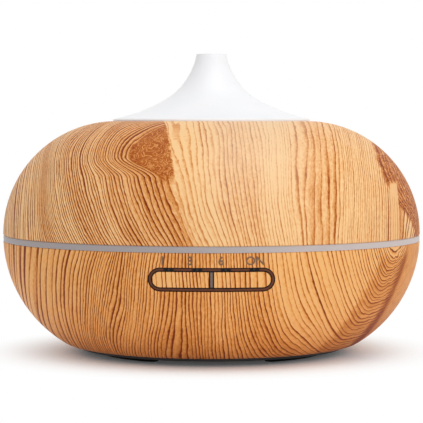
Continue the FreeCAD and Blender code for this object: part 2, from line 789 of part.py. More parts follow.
def make_lower_shell():
    cut = s.edge_break
    wall = s.wood_wall
    shell = turned(
        "lower_shell",
        [
            (base_opening, underside),
            (hem_axis, underside),
            (*belly_turn_point(0), s.hem_arc),
            (belly_radius(seam - cut, 0), seam - cut, s.belly_arc),
            (belly_radius(seam, 0) - cut, seam),
            (belly_radius(seam, wall), seam),
            (*belly_turn_point(wall), wall - s.belly_arc),
            (hem_axis, underside + wall, wall - s.hem_arc),
            (base_opening, underside + wall),
        ],
    )
    slot = add_sketch(shell)
    outline(slot, stadium(s.slot_half_length + s.slip, s.slot_half_height + s.slip))
    pocket(shell, slot, s.body_radius)
    notch = add_sketch(shell)
    half = s.gutter_half_width
    outline(
        notch,
        [
            (-half, 0),
            (half, 0),
            (half, gutter_top - half / 2),
            (half / 2, gutter_top, half / 2),
            (-half / 2, gutter_top),
            (-half, gutter_top - half / 2, half / 2),
        ],
    )
    pocket(shell, notch, s.body_radius, forwards=False)


def make_light_ring():
    """The frosted ring: it closes the gap at the seam, plugs into the lower shell and lifts a lip that
    the cover is put over."""
    face = s.body_radius - s.ring_inset
    plug = belly_radius(ring_bottom, s.wood_wall) - s.fit
    ring = turned(
        "light_ring",
        [
            (ring_inner, ring_bottom),
            (plug, ring_bottom),
            (plug, seam),
            (face, seam),
            (face, equator - s.edge_break),
            (face - s.edge_break, equator),
            (lip_outer, equator),
            (lip_outer, lip_top),
            (ring_inner, lip_top),
        ],
    )
    mark = add_sketch(ring, "XZ", (0, 0, plug))
    half = s.mark_half_width
    arc = (half * half + s.mark_rise * s.mark_rise) / (2 * s.mark_rise)
    outline(mark, [(-half, seam, arc), (half, seam), (0, seam + s.mark_rise, arc)])
    pad(ring, mark, s.body_radius - plug + s.mark_proud)
    trim = add_sketch(ring)
    rectangle(
        trim, face + s.mark_proud, s.body_radius + s.wood_wall, seam - s.fit, equator + s.fit
    )
    revolve(ring, trim, cut=True)


def make_water_tank():
    """A bowl with a wide ledge, a pit over the transducer and a chimney for the fan's air."""
    wall = s.tank_wall
    outer = tank_radius + wall
    ledge = led_board_top + wall
    turn = s.shoulder_round
    tank = turned(
        "water_tank",
        [
            (s.pit_hole, pit_bottom),
            (s.pit_radius + pit_run, pit_bottom),
            (s.pit_radius + s.pit_flare + pit_run, tank_bottom),
            (floor_edge, tank_bottom),
            (bowl_radius + wall, tank_floor + bowl_arc, bowl_arc + wall),
            (bowl_radius + wall, led_board_top),
            (outer, led_board_top),
            (outer, flange_bottom),
            (lip_outer, flange_bottom),
            (lip_outer, rim_top),
            (tank_radius, rim_top),
            (tank_radius, ledge + turn),
            (tank_radius - turn, ledge, -turn),
            (bowl_radius + turn, ledge),
            (bowl_radius, ledge - turn, turn),
            (bowl_radius, tank_floor + bowl_arc),
            (floor_edge, tank_floor, -bowl_arc),
            (s.pit_radius + s.pit_flare, tank_floor),
            (s.pit_radius, pit_bottom + wall),
            (s.pit_hole, pit_bottom + wall),
        ],
    )
    half = s.fan_side / 2
    collar = add_sketch(tank, "XY", (0, 0, tank_bottom))
    rectangle(collar, fan_place - half, fan_place + half, -half, half)
    pad(tank, collar, wall)
    wide, long = s.chimney_half_width, s.chimney_half_length
    chimney = add_sketch(tank, "XY", (0, 0, tank_bottom))
    wall_around = s.chimney_wall
    outline(
        chimney,
        rounded(
            fan_place - wide - wall_around,
            fan_place + wide + wall_around,
            -long - wall_around,
            long + wall_around,
            s.chimney_round + wall_around,
        ),
    )
    pad(tank, chimney, chimney_top - tank_bottom)
    line = add_sketch(tank, "XY", (0, 0, tank_floor + s.fill_height))
    edge = wall_around + s.fill_line_rise
    outline(
        line,
        rounded(
            fan_place - wide - edge,
            fan_place + wide + edge,
            -long - edge,
            long + edge,
            s.chimney_round + edge,
        ),
    )
    pad(tank, line, s.fill_line_width)
    passage = add_sketch(tank, "XY", (0, 0, tank_bottom))
    outline(passage, rounded(fan_place - wide, fan_place + wide, -long, long, s.chimney_round))
    pocket(tank, passage, chimney_top - tank_bottom)

    bosses = circles(tank, "XY", plate_top, base_screws, s.base_screw + s.boss_wall)
    pad(tank, bosses, tank_bottom - plate_top)
    cut_holes(tank, base_screws, plate_top, s.base_screw_length, s.base_screw + s.slip)
    clamps = circles(tank, "XY", clamp_top, clamp_screws, s.small_screw + s.clamp_boss_wall)
    pad(tank, clamps, s.seal_height)
    depth = s.clamp_screw_length - s.clamp_thickness + s.slip
    cut_holes(tank, clamp_screws, clamp_top, depth, s.small_screw + s.slip)
    cut_holes(tank, [(-s.probe_place, 0)], pit_bottom, wall, s.probe_radius + s.slip)
    turned(
        "tank_seal",
        [
            (ring_inner, lip_top),
            (lip_outer, lip_top),
            (lip_outer, flange_bottom),
            (ring_inner, flange_bottom),
        ],
    )


def make_lamps():
    low = led_board_top - s.board_thickness
    inner = bowl_radius + s.tank_wall + s.fit
    outer = belly_radius(low, s.wood_wall) - 2 * s.fit
    turned(
        "led_board", [(inner, low), (outer, low), (outer, led_board_top), (inner, led_board_top)]
    )
    lamps = new_body("led_lamps")
    sketch = add_sketch(lamps, "XY", (0, 0, led_board_top))
    far = outer - s.led_inset
    rectangle(sketch, far - s.led_width, far, -s.led_length / 2, s.led_length / 2)
    around(lamps, pad(lamps, sketch, s.led_height), s.led_count)


def make_transducer():
    middle = clamp_top + s.seal_height / 2
    half = s.disc_thickness / 2
    turned(
        "transducer_disc",
        [
            (0, middle - half),
            (s.disc_radius, middle - half),
            (s.disc_radius, middle + half),
            (0, middle + half),
        ],
    )
    groove = s.disc_radius + s.slip
    turned(
        "transducer_seal",
        [
            (s.pit_hole, clamp_top),
            (s.seal_radius, clamp_top),
            (s.seal_radius, pit_bottom),
            (s.pit_hole, pit_bottom),
            (s.pit_hole, middle + half),
            (groove, middle + half),
            (groove, middle - half),
            (s.pit_hole, middle - half),
        ],
    )
    low = clamp_top - s.clamp_thickness
    clamp = turned(
        "transducer_clamp",
        [
            (s.clamp_opening, low),
            (clamp_radius, low),
            (clamp_radius, clamp_top),
            (s.clamp_opening, clamp_top),
        ],
    )
    cut_holes(clamp, clamp_screws, low, s.clamp_thickness, s.small_screw + s.slip)
    add_screws("clamp_screws", clamp_screws, low, s.clamp_screw_length, s.small_screw, s.small_head)


def make_level_probe():
    """A steel pin through the pit's floor, held by a nut below it."""
    probe = new_body("level_probe")
    place = [(-s.probe_place, 0)]
    nut = circles(probe, "XY", nut_bottom, place, 2 * s.probe_radius)
    pad(probe, nut, pit_bottom - nut_bottom)
    pin = circles(probe, "XY", nut_bottom, place, s.probe_radius)
    pad(probe, pin, pit_bottom + s.tank_wall + s.probe_rise - nut_bottom)


# ---------------------------------------------------------------------------------------------------
# The underside: base plate, plug bay and feet
# ---------------------------------------------------------------------------------------------------


def make_base_plate():
    plate_radius = base_opening - s.fit
    plate = turned(
        "base_plate",
        [
            (0, s.foot_height),
            (base_opening + s.plate_overlap - s.edge_break, s.foot_height),
            (base_opening + s.plate_overlap, s.foot_height + s.edge_break),
            (base_opening + s.plate_overlap, underside),
            (plate_radius, underside),
            (plate_radius, plate_top),
            (0, plate_top),
        ],
    )
    wide = s.bay_half_width + s.bay_wall
    house = add_sketch(plate, "XY", (0, 0, s.foot_height))
    rectangle(house, -wide, wide, bay_start - s.bay_wall, bay_end + s.bay_wall)
    pad(plate, house, bay_roof + s.bay_wall - s.foot_height)
    tongue = add_sketch(plate, "XY", (0, 0, gutter_top))
    half = s.gutter_half_width + s.bay_wall
    rectangle(tongue, -half, half, bay_end, bay_end + s.bay_wall + s.gutter_tongue)
    pad(plate, tongue, s.bay_wall)
    bay = add_sketch(plate, "XY", (0, 0, s.foot_height))
    rectangle(bay, -s.bay_half_width, s.bay_half_width, bay_start, bay_end)
    pocket(plate, bay, bay_roof - s.foot_height)
    gutter = add_sketch(plate, "XY", (0, 0, s.foot_height))
    rectangle(gutter, -s.gutter_half_width, s.gutter_half_width, bay_end, s.body_radius)
    pocket(plate, gutter, gutter_top - s.foot_height)
    nose = circles(plate, "XZ", 0, [(0, jack_axis)], s.jack_nose + s.slip)
    pocket(plate, nose, bay_start, forwards=False)

    vents = add_sketch(plate, "XY", (0, 0, s.foot_height))
    for k in range(int(s.vent_count.value)):
        middle = fan_place + (k - (s.vent_count - 1) / 2) * s.vent_pitch
        half = s.vent_width / 2
        rectangle(vents, middle - half, middle + half, -s.vent_length / 2, s.vent_length / 2)
    pocket(plate, vents, s.plate_thickness)
    pad(plate, circles(plate, "XY", plate_top, fan_pins, 2 * s.fan_pin), s.fan_standoff)
    pins = circles(plate, "XY", plate_top, fan_pins, s.fan_pin)
    pad(plate, pins, s.fan_standoff + s.fan_pin_length)
    post = s.small_screw + s.driver_post_wall
    pad(plate, circles(plate, "XY", plate_top, driver_screws, post), s.driver_lift)
    cut_holes(plate, driver_screws, plate_top, s.driver_lift, s.small_screw + s.slip)
    cut_holes(plate, base_screws, s.foot_height, s.plate_thickness, s.base_screw + s.slip)
    cut_holes(plate, base_screws, s.foot_height, s.head_height, s.base_screw_head + s.slip)
    cut_holes(plate, pegs, s.foot_height, s.peg_length + s.slip, s.peg_radius + s.slip)
    add_screws(
        "base_screws",
        base_screws,
        s.foot_height + s.head_height,
        s.base_screw_length,
        s.base_screw,
        s.base_screw_head,
    )


def make_foot(label, middle):
    """An arc-shaped rubber pad with round ends, pressed into the plate by two pegs."""
    foot = new_body(label)
    start, end = middle - s.foot_half_angle, middle + s.foot_half_angle
    half = s.foot_half_width
    inner, outer = foot_radius - half, foot_radius + half

    def tip(angle, side):
        across, up = polar(foot_radius, angle)
        return across - side * half * sine(angle), up + side * half * cosine(angle)

    sketch = add_sketch(foot, "XY")
    outline(
        sketch,
        [
            (*polar(outer, start), half),
            (*polar(outer, end), outer),
            (*tip(end, 1), half),
            (*polar(inner, end), half),
            (*polar(inner, start), -inner),
            (*tip(start, -1), half),
        ],
    )
    sole = pad(foot, sketch, s.foot_height)
    cut = foot.newObject("PartDesign::Chamfer", label + "_sole")
    low = [k for k, edge in enumerate(sole.Shape.Edges, 1) if edge.BoundBox.ZMax < s.fit.value]
    cut.Base = (sole, ["Edge%d" % k for k in low])
    bind(cut, "Size", s.foot_chamfer)
    finish(foot, cut)
    places = [polar(foot_radius, middle + turn) for turn in (-s.peg_angle, s.peg_angle)]
    pad(foot, circles(foot, "XY", s.foot_height, places, s.peg_radius), s.peg_length)


def make_power_jack():
    half = s.jack_width / 2
    front = jack_back + s.jack_length
    jack = block("power_jack", -half, half, jack_back, front, plate_top, plate_top + s.jack_height)
    mouth = s.fit - bay_start
    place = [(0, jack_axis)]
    pad(jack, circles(jack, "XZ", mouth, place, s.jack_nose), s.jack_depth)
    cut_holes(jack, place, mouth, s.jack_depth, s.jack_bore, "XZ")
    pad(jack, circles(jack, "XZ", mouth + s.edge_break, place, s.jack_pin), s.jack_depth)


# ---------------------------------------------------------------------------------------------------
# The fan, drawn about its own axis and then put in place
# ---------------------------------------------------------------------------------------------------


def place_fan_part(body):
    body.setExpression("Placement.Base.x", fan_place.formula)
    body.setExpression("Placement.Base.z", fan_bottom.formula)


def make_fan_frame():
    frame = new_body("fan_frame")
    half = s.fan_side / 2
    side = rounded(-half, half, -half, half, s.fan_corner)
    pad(frame, outline(add_sketch(frame, "XY"), side), s.fan_depth)
    centre = [(0, 0)]
    cut_holes(frame, centre, 0, s.fan_depth, fan_bore)
    corners = [(i * fan_pin_place, j * fan_pin_place) for i in (-1, 1) for j in (-1, 1)]
    cut_holes(frame, corners, 0, s.fan_depth, s.fan_pin + s.slip)
    pad(frame, circles(frame, "XY", 0, centre, s.hub_radius), s.fan_floor)
    strut = add_sketch(frame, "XY")
    wide = s.fan_strut / 2
    rectangle(strut, s.hub_radius - wide, fan_bore + wide / 2, -wide, wide)
    around(frame, pad(frame, strut, s.fan_floor), s.fan_struts)
    pad(frame, circles(frame, "XY", 0, centre, s.fan_tube), s.fan_tube_height)
    cut_holes(frame, centre, s.fan_floor / 2, s.fan_tube_height, s.shaft_radius + s.slip)
    place_fan_part(frame)
    low = s.fan_floor
    outer = s.hub_radius - s.hub_wall - s.stator_gap
    stator = turned(
        "fan_stator",
        [
            (s.fan_tube, low),
            (outer, low),
            (outer, low + s.stator_height),
            (s.fan_tube, low + s.stator_height),
        ],
    )
    place_fan_part(stator)


def make_fan_rotor():
    """A hub with blades lofted from a steep, narrow root to a flat, wide tip."""
    top = s.fan_depth - s.fit
    inner_top = top - s.hub_wall
    low = s.fan_floor + s.hub_gap
    inner = s.hub_radius - s.hub_wall
    rotor = turned(
        "fan_rotor",
        [
            (0, s.fan_floor / 2 + s.slip),
            (s.shaft_radius, s.fan_floor / 2 + s.slip),
            (s.shaft_radius, inner_top),
            (inner, inner_top),
            (inner, low),
            (s.hub_radius, low),
            (s.hub_radius, top - s.edge_break),
            (s.hub_radius - s.edge_break, top),
            (0, top),
        ],
    )
    middle = (low + top) / 2
    tip = fan_bore - s.blade_gap

    def blade_section(radius, chord, pitch):
        sketch = add_sketch(rotor, "YZ", (0, 0, radius))
        run, climb = cosine(pitch), sine(pitch)

        def corner(along, off, *arc):
            return (along * run - off * climb, middle + along * climb + off * run, *arc)

        half, thick = chord / 2, s.blade_thickness / 2
        hollow, crown = s.blade_camber, s.blade_camber + s.blade_thickness
        outline(
            sketch,
            [
                corner(-half, -thick),
                corner(half, -thick, -hollow),
                corner(half, thick),
                corner(-half, thick, crown),
            ],
        )
        return sketch

    blade = rotor.newObject("PartDesign::AdditiveLoft", "fan_blade")
    blade.Profile = blade_section(s.hub_radius - s.hub_wall / 2, s.root_chord, s.root_angle)
    blade.Sections = [blade_section(tip, s.tip_chord, s.tip_angle)]
    blade.Ruled = True
    finish(rotor, blade)
    around(rotor, blade, s.blade_count)
    place_fan_part(rotor)


def make_fan_seal():
    seal = new_body("fan_seal")
    half = s.fan_side / 2
    inner = half - s.fan_seal_wall
    side = rounded(-half, half, -half, half, s.fan_corner)
    pad(seal, outline(add_sketch(seal, "XY", (0, 0, s.fan_depth)), side), s.fan_seal_height)
    window = rectangle(add_sketch(seal, "XY", (0, 0, s.fan_depth)), -inner, inner, -inner, inner)
    pocket(seal, window, s.fan_seal_height)
    place_fan_part(seal)


# ---------------------------------------------------------------------------------------------------
# The buttons, their smoked bezel and the board behind them
# ---------------------------------------------------------------------------------------------------


def follow_shell(body, inset):
    """Trims what stands in front of the belly's surface, sunk by inset."""
    low, high = slot_height - s.slot_half_height - s.fit, slot_height + s.slot_half_height + s.fit
    beyond = s.body_radius + s.bezel_depth
    sketch = add_sketch(body)
    outline(
        sketch,
        [
            (belly_radius(low, inset), low, inset - s.belly_arc),
            (beyond, low),
            (beyond, high),
            (belly_radius(high, inset), high),
        ],
    )
    revolve(body, sketch, cut=True)


def make_bezel():
    bezel = new_body("button_bezel")
    front = s.body_radius - bezel_back
    rim = outline(
        add_sketch(bezel, "XZ", (0, 0, bezel_back)), stadium(s.slot_half_length, s.slot_half_height)
    )
    pad(bezel, rim, front)
    margin = s.bezel_margin
    flange = outline(
        add_sketch(bezel, "XZ", (0, 0, bezel_back)),
        stadium(s.slot_half_length + margin, s.slot_half_height + margin),
    )
    pad(bezel, flange, s.bezel_flange)
    openings = add_sketch(bezel, "XZ", (0, 0, bezel_back))
    for side in (-1, 1):
        outline(openings, half_stadium(side, s.bezel_divider / 2, window_end, window_half))
    pocket(bezel, openings, front)
    follow_shell(bezel, s.bezel_sink)
    cut_holes(bezel, indicators, bezel_back, front, s.indicator_radius + s.slip / 2, "XZ")
    ears = add_sketch(bezel, "XZ", (0, 0, catch_back))
    half = s.ear_half_height
    near, far = window_end + s.fit, ear_place + half
    for left, right in ((-far, -near), (near, far)):
        rectangle(ears, left, right, slot_height - half, slot_height + half)
    pad(bezel, ears, bezel_back - catch_back)
    pad(bezel, circles(bezel, "XZ", board_front, switch_screws, half), bezel_back - board_front)
    depth = s.switch_screw_length - s.board_thickness
    cut_holes(bezel, switch_screws, board_front, depth, s.small_screw + s.slip, "XZ")


def make_button(name, side):
    """A cap that follows the shell, a catch behind the bezel and a stem on the switch's plunger."""
    button = new_body(name + "_button")
    gap = s.button_gap
    start, end, half = s.bezel_divider / 2 + gap, window_end - gap, window_half - gap
    cap = outline(
        add_sketch(button, "XZ", (0, 0, catch_front)), half_stadium(side, start, end, half)
    )
    pad(button, cap, s.body_radius - catch_front)
    follow_shell(button, 0)
    left, right = (start, end) if side > 0 else (-end, -start)
    low, high = slot_height - half - s.button_catch, slot_height + half
    catch = rectangle(add_sketch(button, "XZ", (0, 0, catch_back)), left, right, low, high)
    pad(button, catch, s.catch_thickness)
    middle = side * button_middle
    tab = rectangle(
        add_sketch(button, "XZ", (0, 0, catch_back)),
        middle - s.catch_tab,
        middle + s.catch_tab,
        slot_height,
        high + s.button_catch,
    )
    pad(button, tab, s.catch_thickness)
    place = [(middle, slot_height)]
    pad(button, circles(button, "XZ", plunger_front, place, s.plunger_radius), s.stem_length)

    plunger = new_body(name + "_plunger")
    rod = circles(plunger, "XZ", switch_front - s.plunger_root, place, s.plunger_radius)
    pad(plunger, rod, s.plunger_root + s.plunger_height)

    switch = new_body(name + "_switch")
    wide = s.switch_side / 2
    box = add_sketch(switch, "XZ", (0, 0, board_front))
    rectangle(box, middle - wide, middle + wide, slot_height - wide, slot_height + wide)
    pad(switch, box, s.switch_height)
    depth = s.plunger_root + s.button_travel + s.fit
    cut_holes(switch, place, switch_front - depth, depth, s.plunger_radius + s.slip, "XZ")


def make_switch_board():
    board = new_body("switch_board")
    far = ear_place + s.small_head + s.fit
    half = s.switch_board_half_height
    sketch = add_sketch(board, "XZ", (0, 0, board_back))
    pad(board, rectangle(sketch, -far, far, slot_height - half, slot_height + half), s.board_thickness)
    hole = s.small_screw + s.slip
    cut_holes(board, switch_screws, board_back, s.board_thickness, hole, "XZ")
    add_screws(
        "switch_screws",
        switch_screws,
        board_back,
        s.switch_screw_length,
        s.small_screw,
        s.small_head,
        plane="XZ",
    )
    pipes = new_body("indicator_pipes")
    rods = circles(pipes, "XZ", board_front, indicators, s.indicator_radius)
    pad(pipes, rods, s.body_radius - board_front)
    follow_shell(pipes, s.bezel_sink + s.indicator_sink)


# ---------------------------------------------------------------------------------------------------
# The driver board, which drives the transducer
# ---------------------------------------------------------------------------------------------------


def make_driver_board():
    low = plate_top + s.driver_lift
    top = low + s.board_thickness
    left, right = driver_middle - driver_half_length, driver_middle + driver_half_length
    half = driver_half_width
    board = block("driver_board", left, right, -half, half, low, top)
    cut_holes(board, driver_screws, low, s.board_thickness, s.small_screw + s.slip)
    add_screws(
        "driver_screws",
        driver_screws,
        top,
        s.board_thickness + s.driver_lift,
        s.small_screw,
        s.small_head,
        upwards=False,
    )
    coil = turned(
        "choke_coil",
        [
            (0, 0),
            (s.coil_radius, 0),
            (s.coil_radius, s.coil_waist),
            (s.coil_radius - s.coil_waist, s.coil_waist),
            (s.coil_radius - s.coil_waist, s.coil_height - s.coil_waist),
            (s.coil_radius, s.coil_height - s.coil_waist),
            (s.coil_radius, s.coil_height),
            (0, s.coil_height),
        ],
    )
    bind(coil, "Placement.Base.x", driver_middle)
    bind(coil, "Placement.Base.y", half - s.coil_radius - s.fit)
    bind(coil, "Placement.Base.z", top)

    sink_left = driver_middle - s.sink_length / 2
    sink = block(
        "heat_sink",
        sink_left,
        sink_left + s.sink_length,
        s.fit,
        s.fit + s.sink_width,
        top,
        top + s.sink_height,
    )
    gaps = add_sketch(sink, "XY", (0, 0, top + s.fin_gap))
    for k in range(int(s.fin_count.value)):
        near = sink_left + s.sink_length * (k + 1) / (s.fin_count + 1) - s.fin_gap / 2
        rectangle(gaps, near, near + s.fin_gap, 0, s.sink_width + s.fit * 2)
    pocket(sink, gaps, s.sink_height)

    cans = new_body("capacitors")
    step = s.capacitor_radius + s.fit
    places = [(driver_middle + side * step, -step) for side in (-1, 1)]
    pad(cans, circles(cans, "XY", top, places, s.capacitor_radius), s.capacitor_height)

    chip = s.chip_length / 2
    chip_left = driver_middle - step - s.capacitor_radius - s.part_gap - s.chip_width
    block("driver_chip", chip_left, chip_left + s.chip_width, -chip, chip, top, top + s.chip_height)

    sockets = new_body("wire_sockets")
    sketch = add_sketch(sockets, "XY", (0, 0, top))
    edge = -half + s.fit
    for near in (driver_middle - s.fit - s.socket_length, driver_middle + s.fit):
        rectangle(sketch, near, near + s.socket_length, edge, edge + s.socket_width)
    pad(sockets, sketch, s.socket_height)


# ---------------------------------------------------------------------------------------------------
# Build, check and write
# ---------------------------------------------------------------------------------------------------


make_top_shell()
make_mist_spout()
make_cover_liner()
make_mist_guide()
make_lower_shell()
make_light_ring()
make_water_tank()
make_lamps()
make_transducer()
make_level_probe()
make_base_plate()
for foot_label, foot_middle in FEET.items():
    make_foot(foot_label, foot_middle)
make_power_jack()
make_fan_frame()
make_fan_rotor()
make_fan_seal()
make_bezel()
make_button("mist", -1)
make_button("light", 1)
make_switch_board()
make_driver_board()
doc.recompute()

for item in doc.Objects:
    if {"Invalid", "Error"} & set(item.State):
        raise RuntimeError("%s failed: %s" % (item.Label, item.State))
for piece in pieces:
    if piece.Shape.isNull() or not piece.Shape.isValid() or piece.Shape.Volume <= 0:
        raise RuntimeError("%s has no valid shape" % piece.Label)

os.makedirs("parts", exist_ok=True)
for piece in pieces:
    piece.Shape.exportStep(os.path.join("parts", piece.Label + ".step"))
    box = piece.Shape.BoundBox
    solids = len(piece.Shape.Solids)
    print("%-20s %2d solid %9.1f mm3 " % (piece.Label, solids, piece.Shape.Volume), end=" ")
    print("x %6.1f..%5.1f  y %6.1f..%5.1f" % (box.XMin, box.XMax, box.YMin, box.YMax), end="  ")
    print("z %5.1f..%5.1f" % (box.ZMin, box.ZMax))
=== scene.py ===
# %% [markdown]
# # An essential oil diffuser with a wood-grain shell
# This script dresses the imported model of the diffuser. Nearly every piece of the real thing is a
# moulding, so the CAD solids already have their true shapes. What Blender adds is the finish of each
# one, and the print on the front, which is too thin for a solid of its own.
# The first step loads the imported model. Everything is in metres: +Z is up, and the buttons face -Y.

# %% Load the frame
import math

import bmesh
import bpy
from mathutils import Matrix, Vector


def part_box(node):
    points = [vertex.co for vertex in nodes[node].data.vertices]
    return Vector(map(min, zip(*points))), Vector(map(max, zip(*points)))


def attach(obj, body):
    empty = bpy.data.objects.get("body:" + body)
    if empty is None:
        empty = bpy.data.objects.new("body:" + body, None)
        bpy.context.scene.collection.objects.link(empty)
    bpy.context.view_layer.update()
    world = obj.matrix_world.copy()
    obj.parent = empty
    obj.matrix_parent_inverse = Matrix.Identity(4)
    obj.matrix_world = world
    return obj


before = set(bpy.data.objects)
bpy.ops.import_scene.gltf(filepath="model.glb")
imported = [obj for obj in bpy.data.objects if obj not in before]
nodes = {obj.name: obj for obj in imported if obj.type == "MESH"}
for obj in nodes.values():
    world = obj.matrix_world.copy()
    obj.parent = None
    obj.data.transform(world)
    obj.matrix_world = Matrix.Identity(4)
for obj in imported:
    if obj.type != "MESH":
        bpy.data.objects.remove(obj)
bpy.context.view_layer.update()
MM = 0.001
PER_METRE = 1000.0
scene = bpy.context.scene

# %% [markdown]
# ## The camera
# The object was seen from the front, a little above its middle, with a long lens, so that its
# sides stay nearly parallel. A camera is turned by a direction: `to_track_quat` finds the turn that
# points its -Z at the target and keeps its Y upright.

# %% Camera
CAMERA_PLACE = (0.0, -0.788, 0.0933)
CAMERA_TARGET = (0.0, 0.0, 0.0564)
CAMERA_LENS = 165.7


def facing(place, target):
    """The turn of a camera or a lamp at a place that looks at a target."""
    return (Vector(target) - Vector(place)).to_track_quat("-Z", "Y").to_euler()


camera = bpy.data.objects.new("camera", bpy.data.cameras.new("camera"))
scene.collection.objects.link(camera)
camera.location = CAMERA_PLACE
camera.rotation_euler = facing(CAMERA_PLACE, CAMERA_TARGET)
camera.data.lens = CAMERA_LENS
camera.data.sensor_width = 36.0
camera.data.clip_start = 0.01
scene.camera = camera
scene.view_settings.view_transform = "Standard"
print("camera at", CAMERA_PLACE, "with a lens of", CAMERA_LENS, "mm")

# %% [markdown]
# ## Writing a material as sums
# A material is a network of nodes. Drawn by hand it is a web of boxes; in a script it reads better as
# arithmetic. The small class below wraps one socket. Adding two of them adds a Math node, and so on,
# so that a pattern can be written as the formula that it is. Any other node comes from `node`, which
# sets the node's own settings first and then its sockets, because some sockets only exist after
# the settings are made.


# %% Shader arithmetic
class Sum:
    """One output socket, with Python's arithmetic standing for Math nodes."""

    def __init__(self, tree, socket):
        self.tree = tree
        self.socket = socket

    def maths(self, operation, *others, clamp=False):
        made = self.tree.nodes.new("ShaderNodeMath")
        made.operation = operation
        made.use_clamp = clamp
        for place, value in enumerate((self, *others)):
            put(self.tree, made.inputs[place], value)
        return Sum(self.tree, made.outputs[0])

    def __add__(self, other):
        return self.maths("ADD", other)

    def __radd__(self, other):
        return self.maths("ADD", other)

    def __sub__(self, other):
        return self.maths("SUBTRACT", other)

    def __rsub__(self, other):
        return (self * -1.0) + other

    def __mul__(self, other):
        return self.maths("MULTIPLY", other)

    def __truediv__(self, other):
        return self.maths("DIVIDE", other)

    def clamp(self):
        return self.maths("ADD", 0.0, clamp=True)

    def clamp_sign(self):
        """Kept between -1 and 1, as an arc sine needs."""
        return self.maths("MINIMUM", 1.0).maths("MAXIMUM", -1.0)

    def ease(self, low, high):
        """0 below low, 1 above high, and a smooth step between them."""
        made = self.tree.nodes.new("ShaderNodeMapRange")
        made.interpolation_type = "SMOOTHSTEP"
        put(self.tree, made.inputs["Value"], self)
        made.inputs["From Min"].default_value = low
        made.inputs["From Max"].default_value = high
        return Sum(self.tree, made.outputs["Result"])


def put(tree, socket, value):
    """Gives a socket a link or a plain value."""
    if isinstance(value, Sum):
        tree.links.new(value.socket, socket)
    else:
        socket.default_value = value


def linear(red, green, blue):
    """A screen colour of 0 to 255, in the linear form that the sockets take."""
    parts = [c / 255.0 for c in (red, green, blue)]
    return (*(c / 12.92 if c <= 0.04045 else ((c + 0.055) / 1.055) ** 2.4 for c in parts), 1.0)


def length(first, second):
    """The length of a vector with these two parts."""
    return (first * first + second * second).maths("SQRT")


# %% [markdown]
# ## A material and its nodes
# `Finish` starts a material with one Principled shader. What is the same all over a surface is set
# on the shader's own sockets, and only what changes from place to place is linked. All patterns read
# Object coordinates: a finished piece sits at the origin, so they are simply its places in metres.


# %% The finish class
class Finish:
    """A material with one Principled shader, and short calls for the nodes in front of it."""

    def __init__(self, name, **sockets):
        self.material = bpy.data.materials.new(name)
        self.material.use_nodes = True
        self.tree = self.material.node_tree
        self.shader = self.tree.nodes["Principled BSDF"]
        self.set(**sockets)
        self.place = self.node("ShaderNodeTexCoord", out="Object")

    def set(self, **sockets):
        """Sockets are named in lower case, with _ for a space."""
        for name, value in sockets.items():
            title = name.replace("_", " ").title().replace("Ior", "IOR")
            put(self.tree, self.shader.inputs[title], value)
        return self

    def node(self, kind, settings=None, out=0, **sockets):
        """Any node: its settings first, then values or links by socket name. Where two sockets
        share a name, _1 means the socket with the number 1."""
        made = self.tree.nodes.new(kind)
        for name, value in (settings or {}).items():
            setattr(made, name, value)
        for name, value in sockets.items():
            key = name.replace("_", " ")
            put(self.tree, made.inputs[int(key[1:]) if key[1:].isdigit() else key], value)
        return Sum(self.tree, made.outputs[out])

    def axes(self):
        """The three coordinates in millimetres."""
        split = self.tree.nodes.new("ShaderNodeSeparateXYZ")
        put(self.tree, split.inputs[0], self.place)
        return [Sum(self.tree, axis) * PER_METRE for axis in split.outputs]

    def vector(self, x, y, z):
        return self.node("ShaderNodeCombineXYZ", X=x, Y=y, Z=z)

    def noise(self, where, scale=1.0, detail=2.0, roughness=0.5, distortion=0.0):
        """A noise from about 0.2 to 0.8, with its middle at 0.5."""
        return self.node(
            "ShaderNodeTexNoise",
            Vector=where,
            Scale=scale,
            Detail=detail,
            Roughness=roughness,
            Distortion=distortion,
        )

    def ramp(self, value, stops):
        """A colour ramp; each stop is a place and a colour."""
        made = self.tree.nodes.new("ShaderNodeValToRGB")
        put(self.tree, made.inputs[0], value)
        band = made.color_ramp
        band.interpolation = "LINEAR"
        while len(band.elements) < len(stops):
            band.elements.new(1.0)
        # the band sorts its stops when one moves, so all take their places before any colour
        for element, (place, _) in zip(band.elements, stops):
            element.position = place
        for element, (place, colour) in zip(band.elements, stops):
            element.position = place
            element.color = colour
        return Sum(self.tree, made.outputs["Color"])

    def curve(self, value, points, span):
        """A smooth curve through points (value, result), for values in a span (low, high). The
        node's own curve runs from 0 to 1 both ways, so values and results are scaled to that."""
        made = self.tree.nodes.new("ShaderNodeFloatCurve")
        low, high = span
        results = [result for _, result in points]
        floor, top = min(results), max(results)
        line = made.mapping.curves[0]
        while len(line.points) < len(points):
            line.points.new(0.5, 0.5)
        for knot, (at, result) in zip(line.points, sorted(points)):
            knot.location = ((at - low) / (high - low), (result - floor) / (top - floor))
            knot.handle_type = "AUTO_CLAMPED"
        made.mapping.update()
        put(self.tree, made.inputs["Value"], (value - low) / (high - low))
        return Sum(self.tree, made.outputs[0]) * (top - floor) + floor

    def mix(self, amount, first, second):
        """A colour between two colours."""
        made = self.tree.nodes.new("ShaderNodeMix")
        made.data_type = "RGBA"
        put(self.tree, made.inputs[0], amount)
        put(self.tree, made.inputs[6], first)
        put(self.tree, made.inputs[7], second)
        return Sum(self.tree, made.outputs[2])

    def bump(self, height, distance, strength=0.5):
        """Height 0 to 1 becomes a relief of the distance, in metres."""
        relief = self.node(
            "ShaderNodeBump", Height=height, Distance=distance, Strength=strength, out="Normal"
        )
        return self.set(normal=relief)


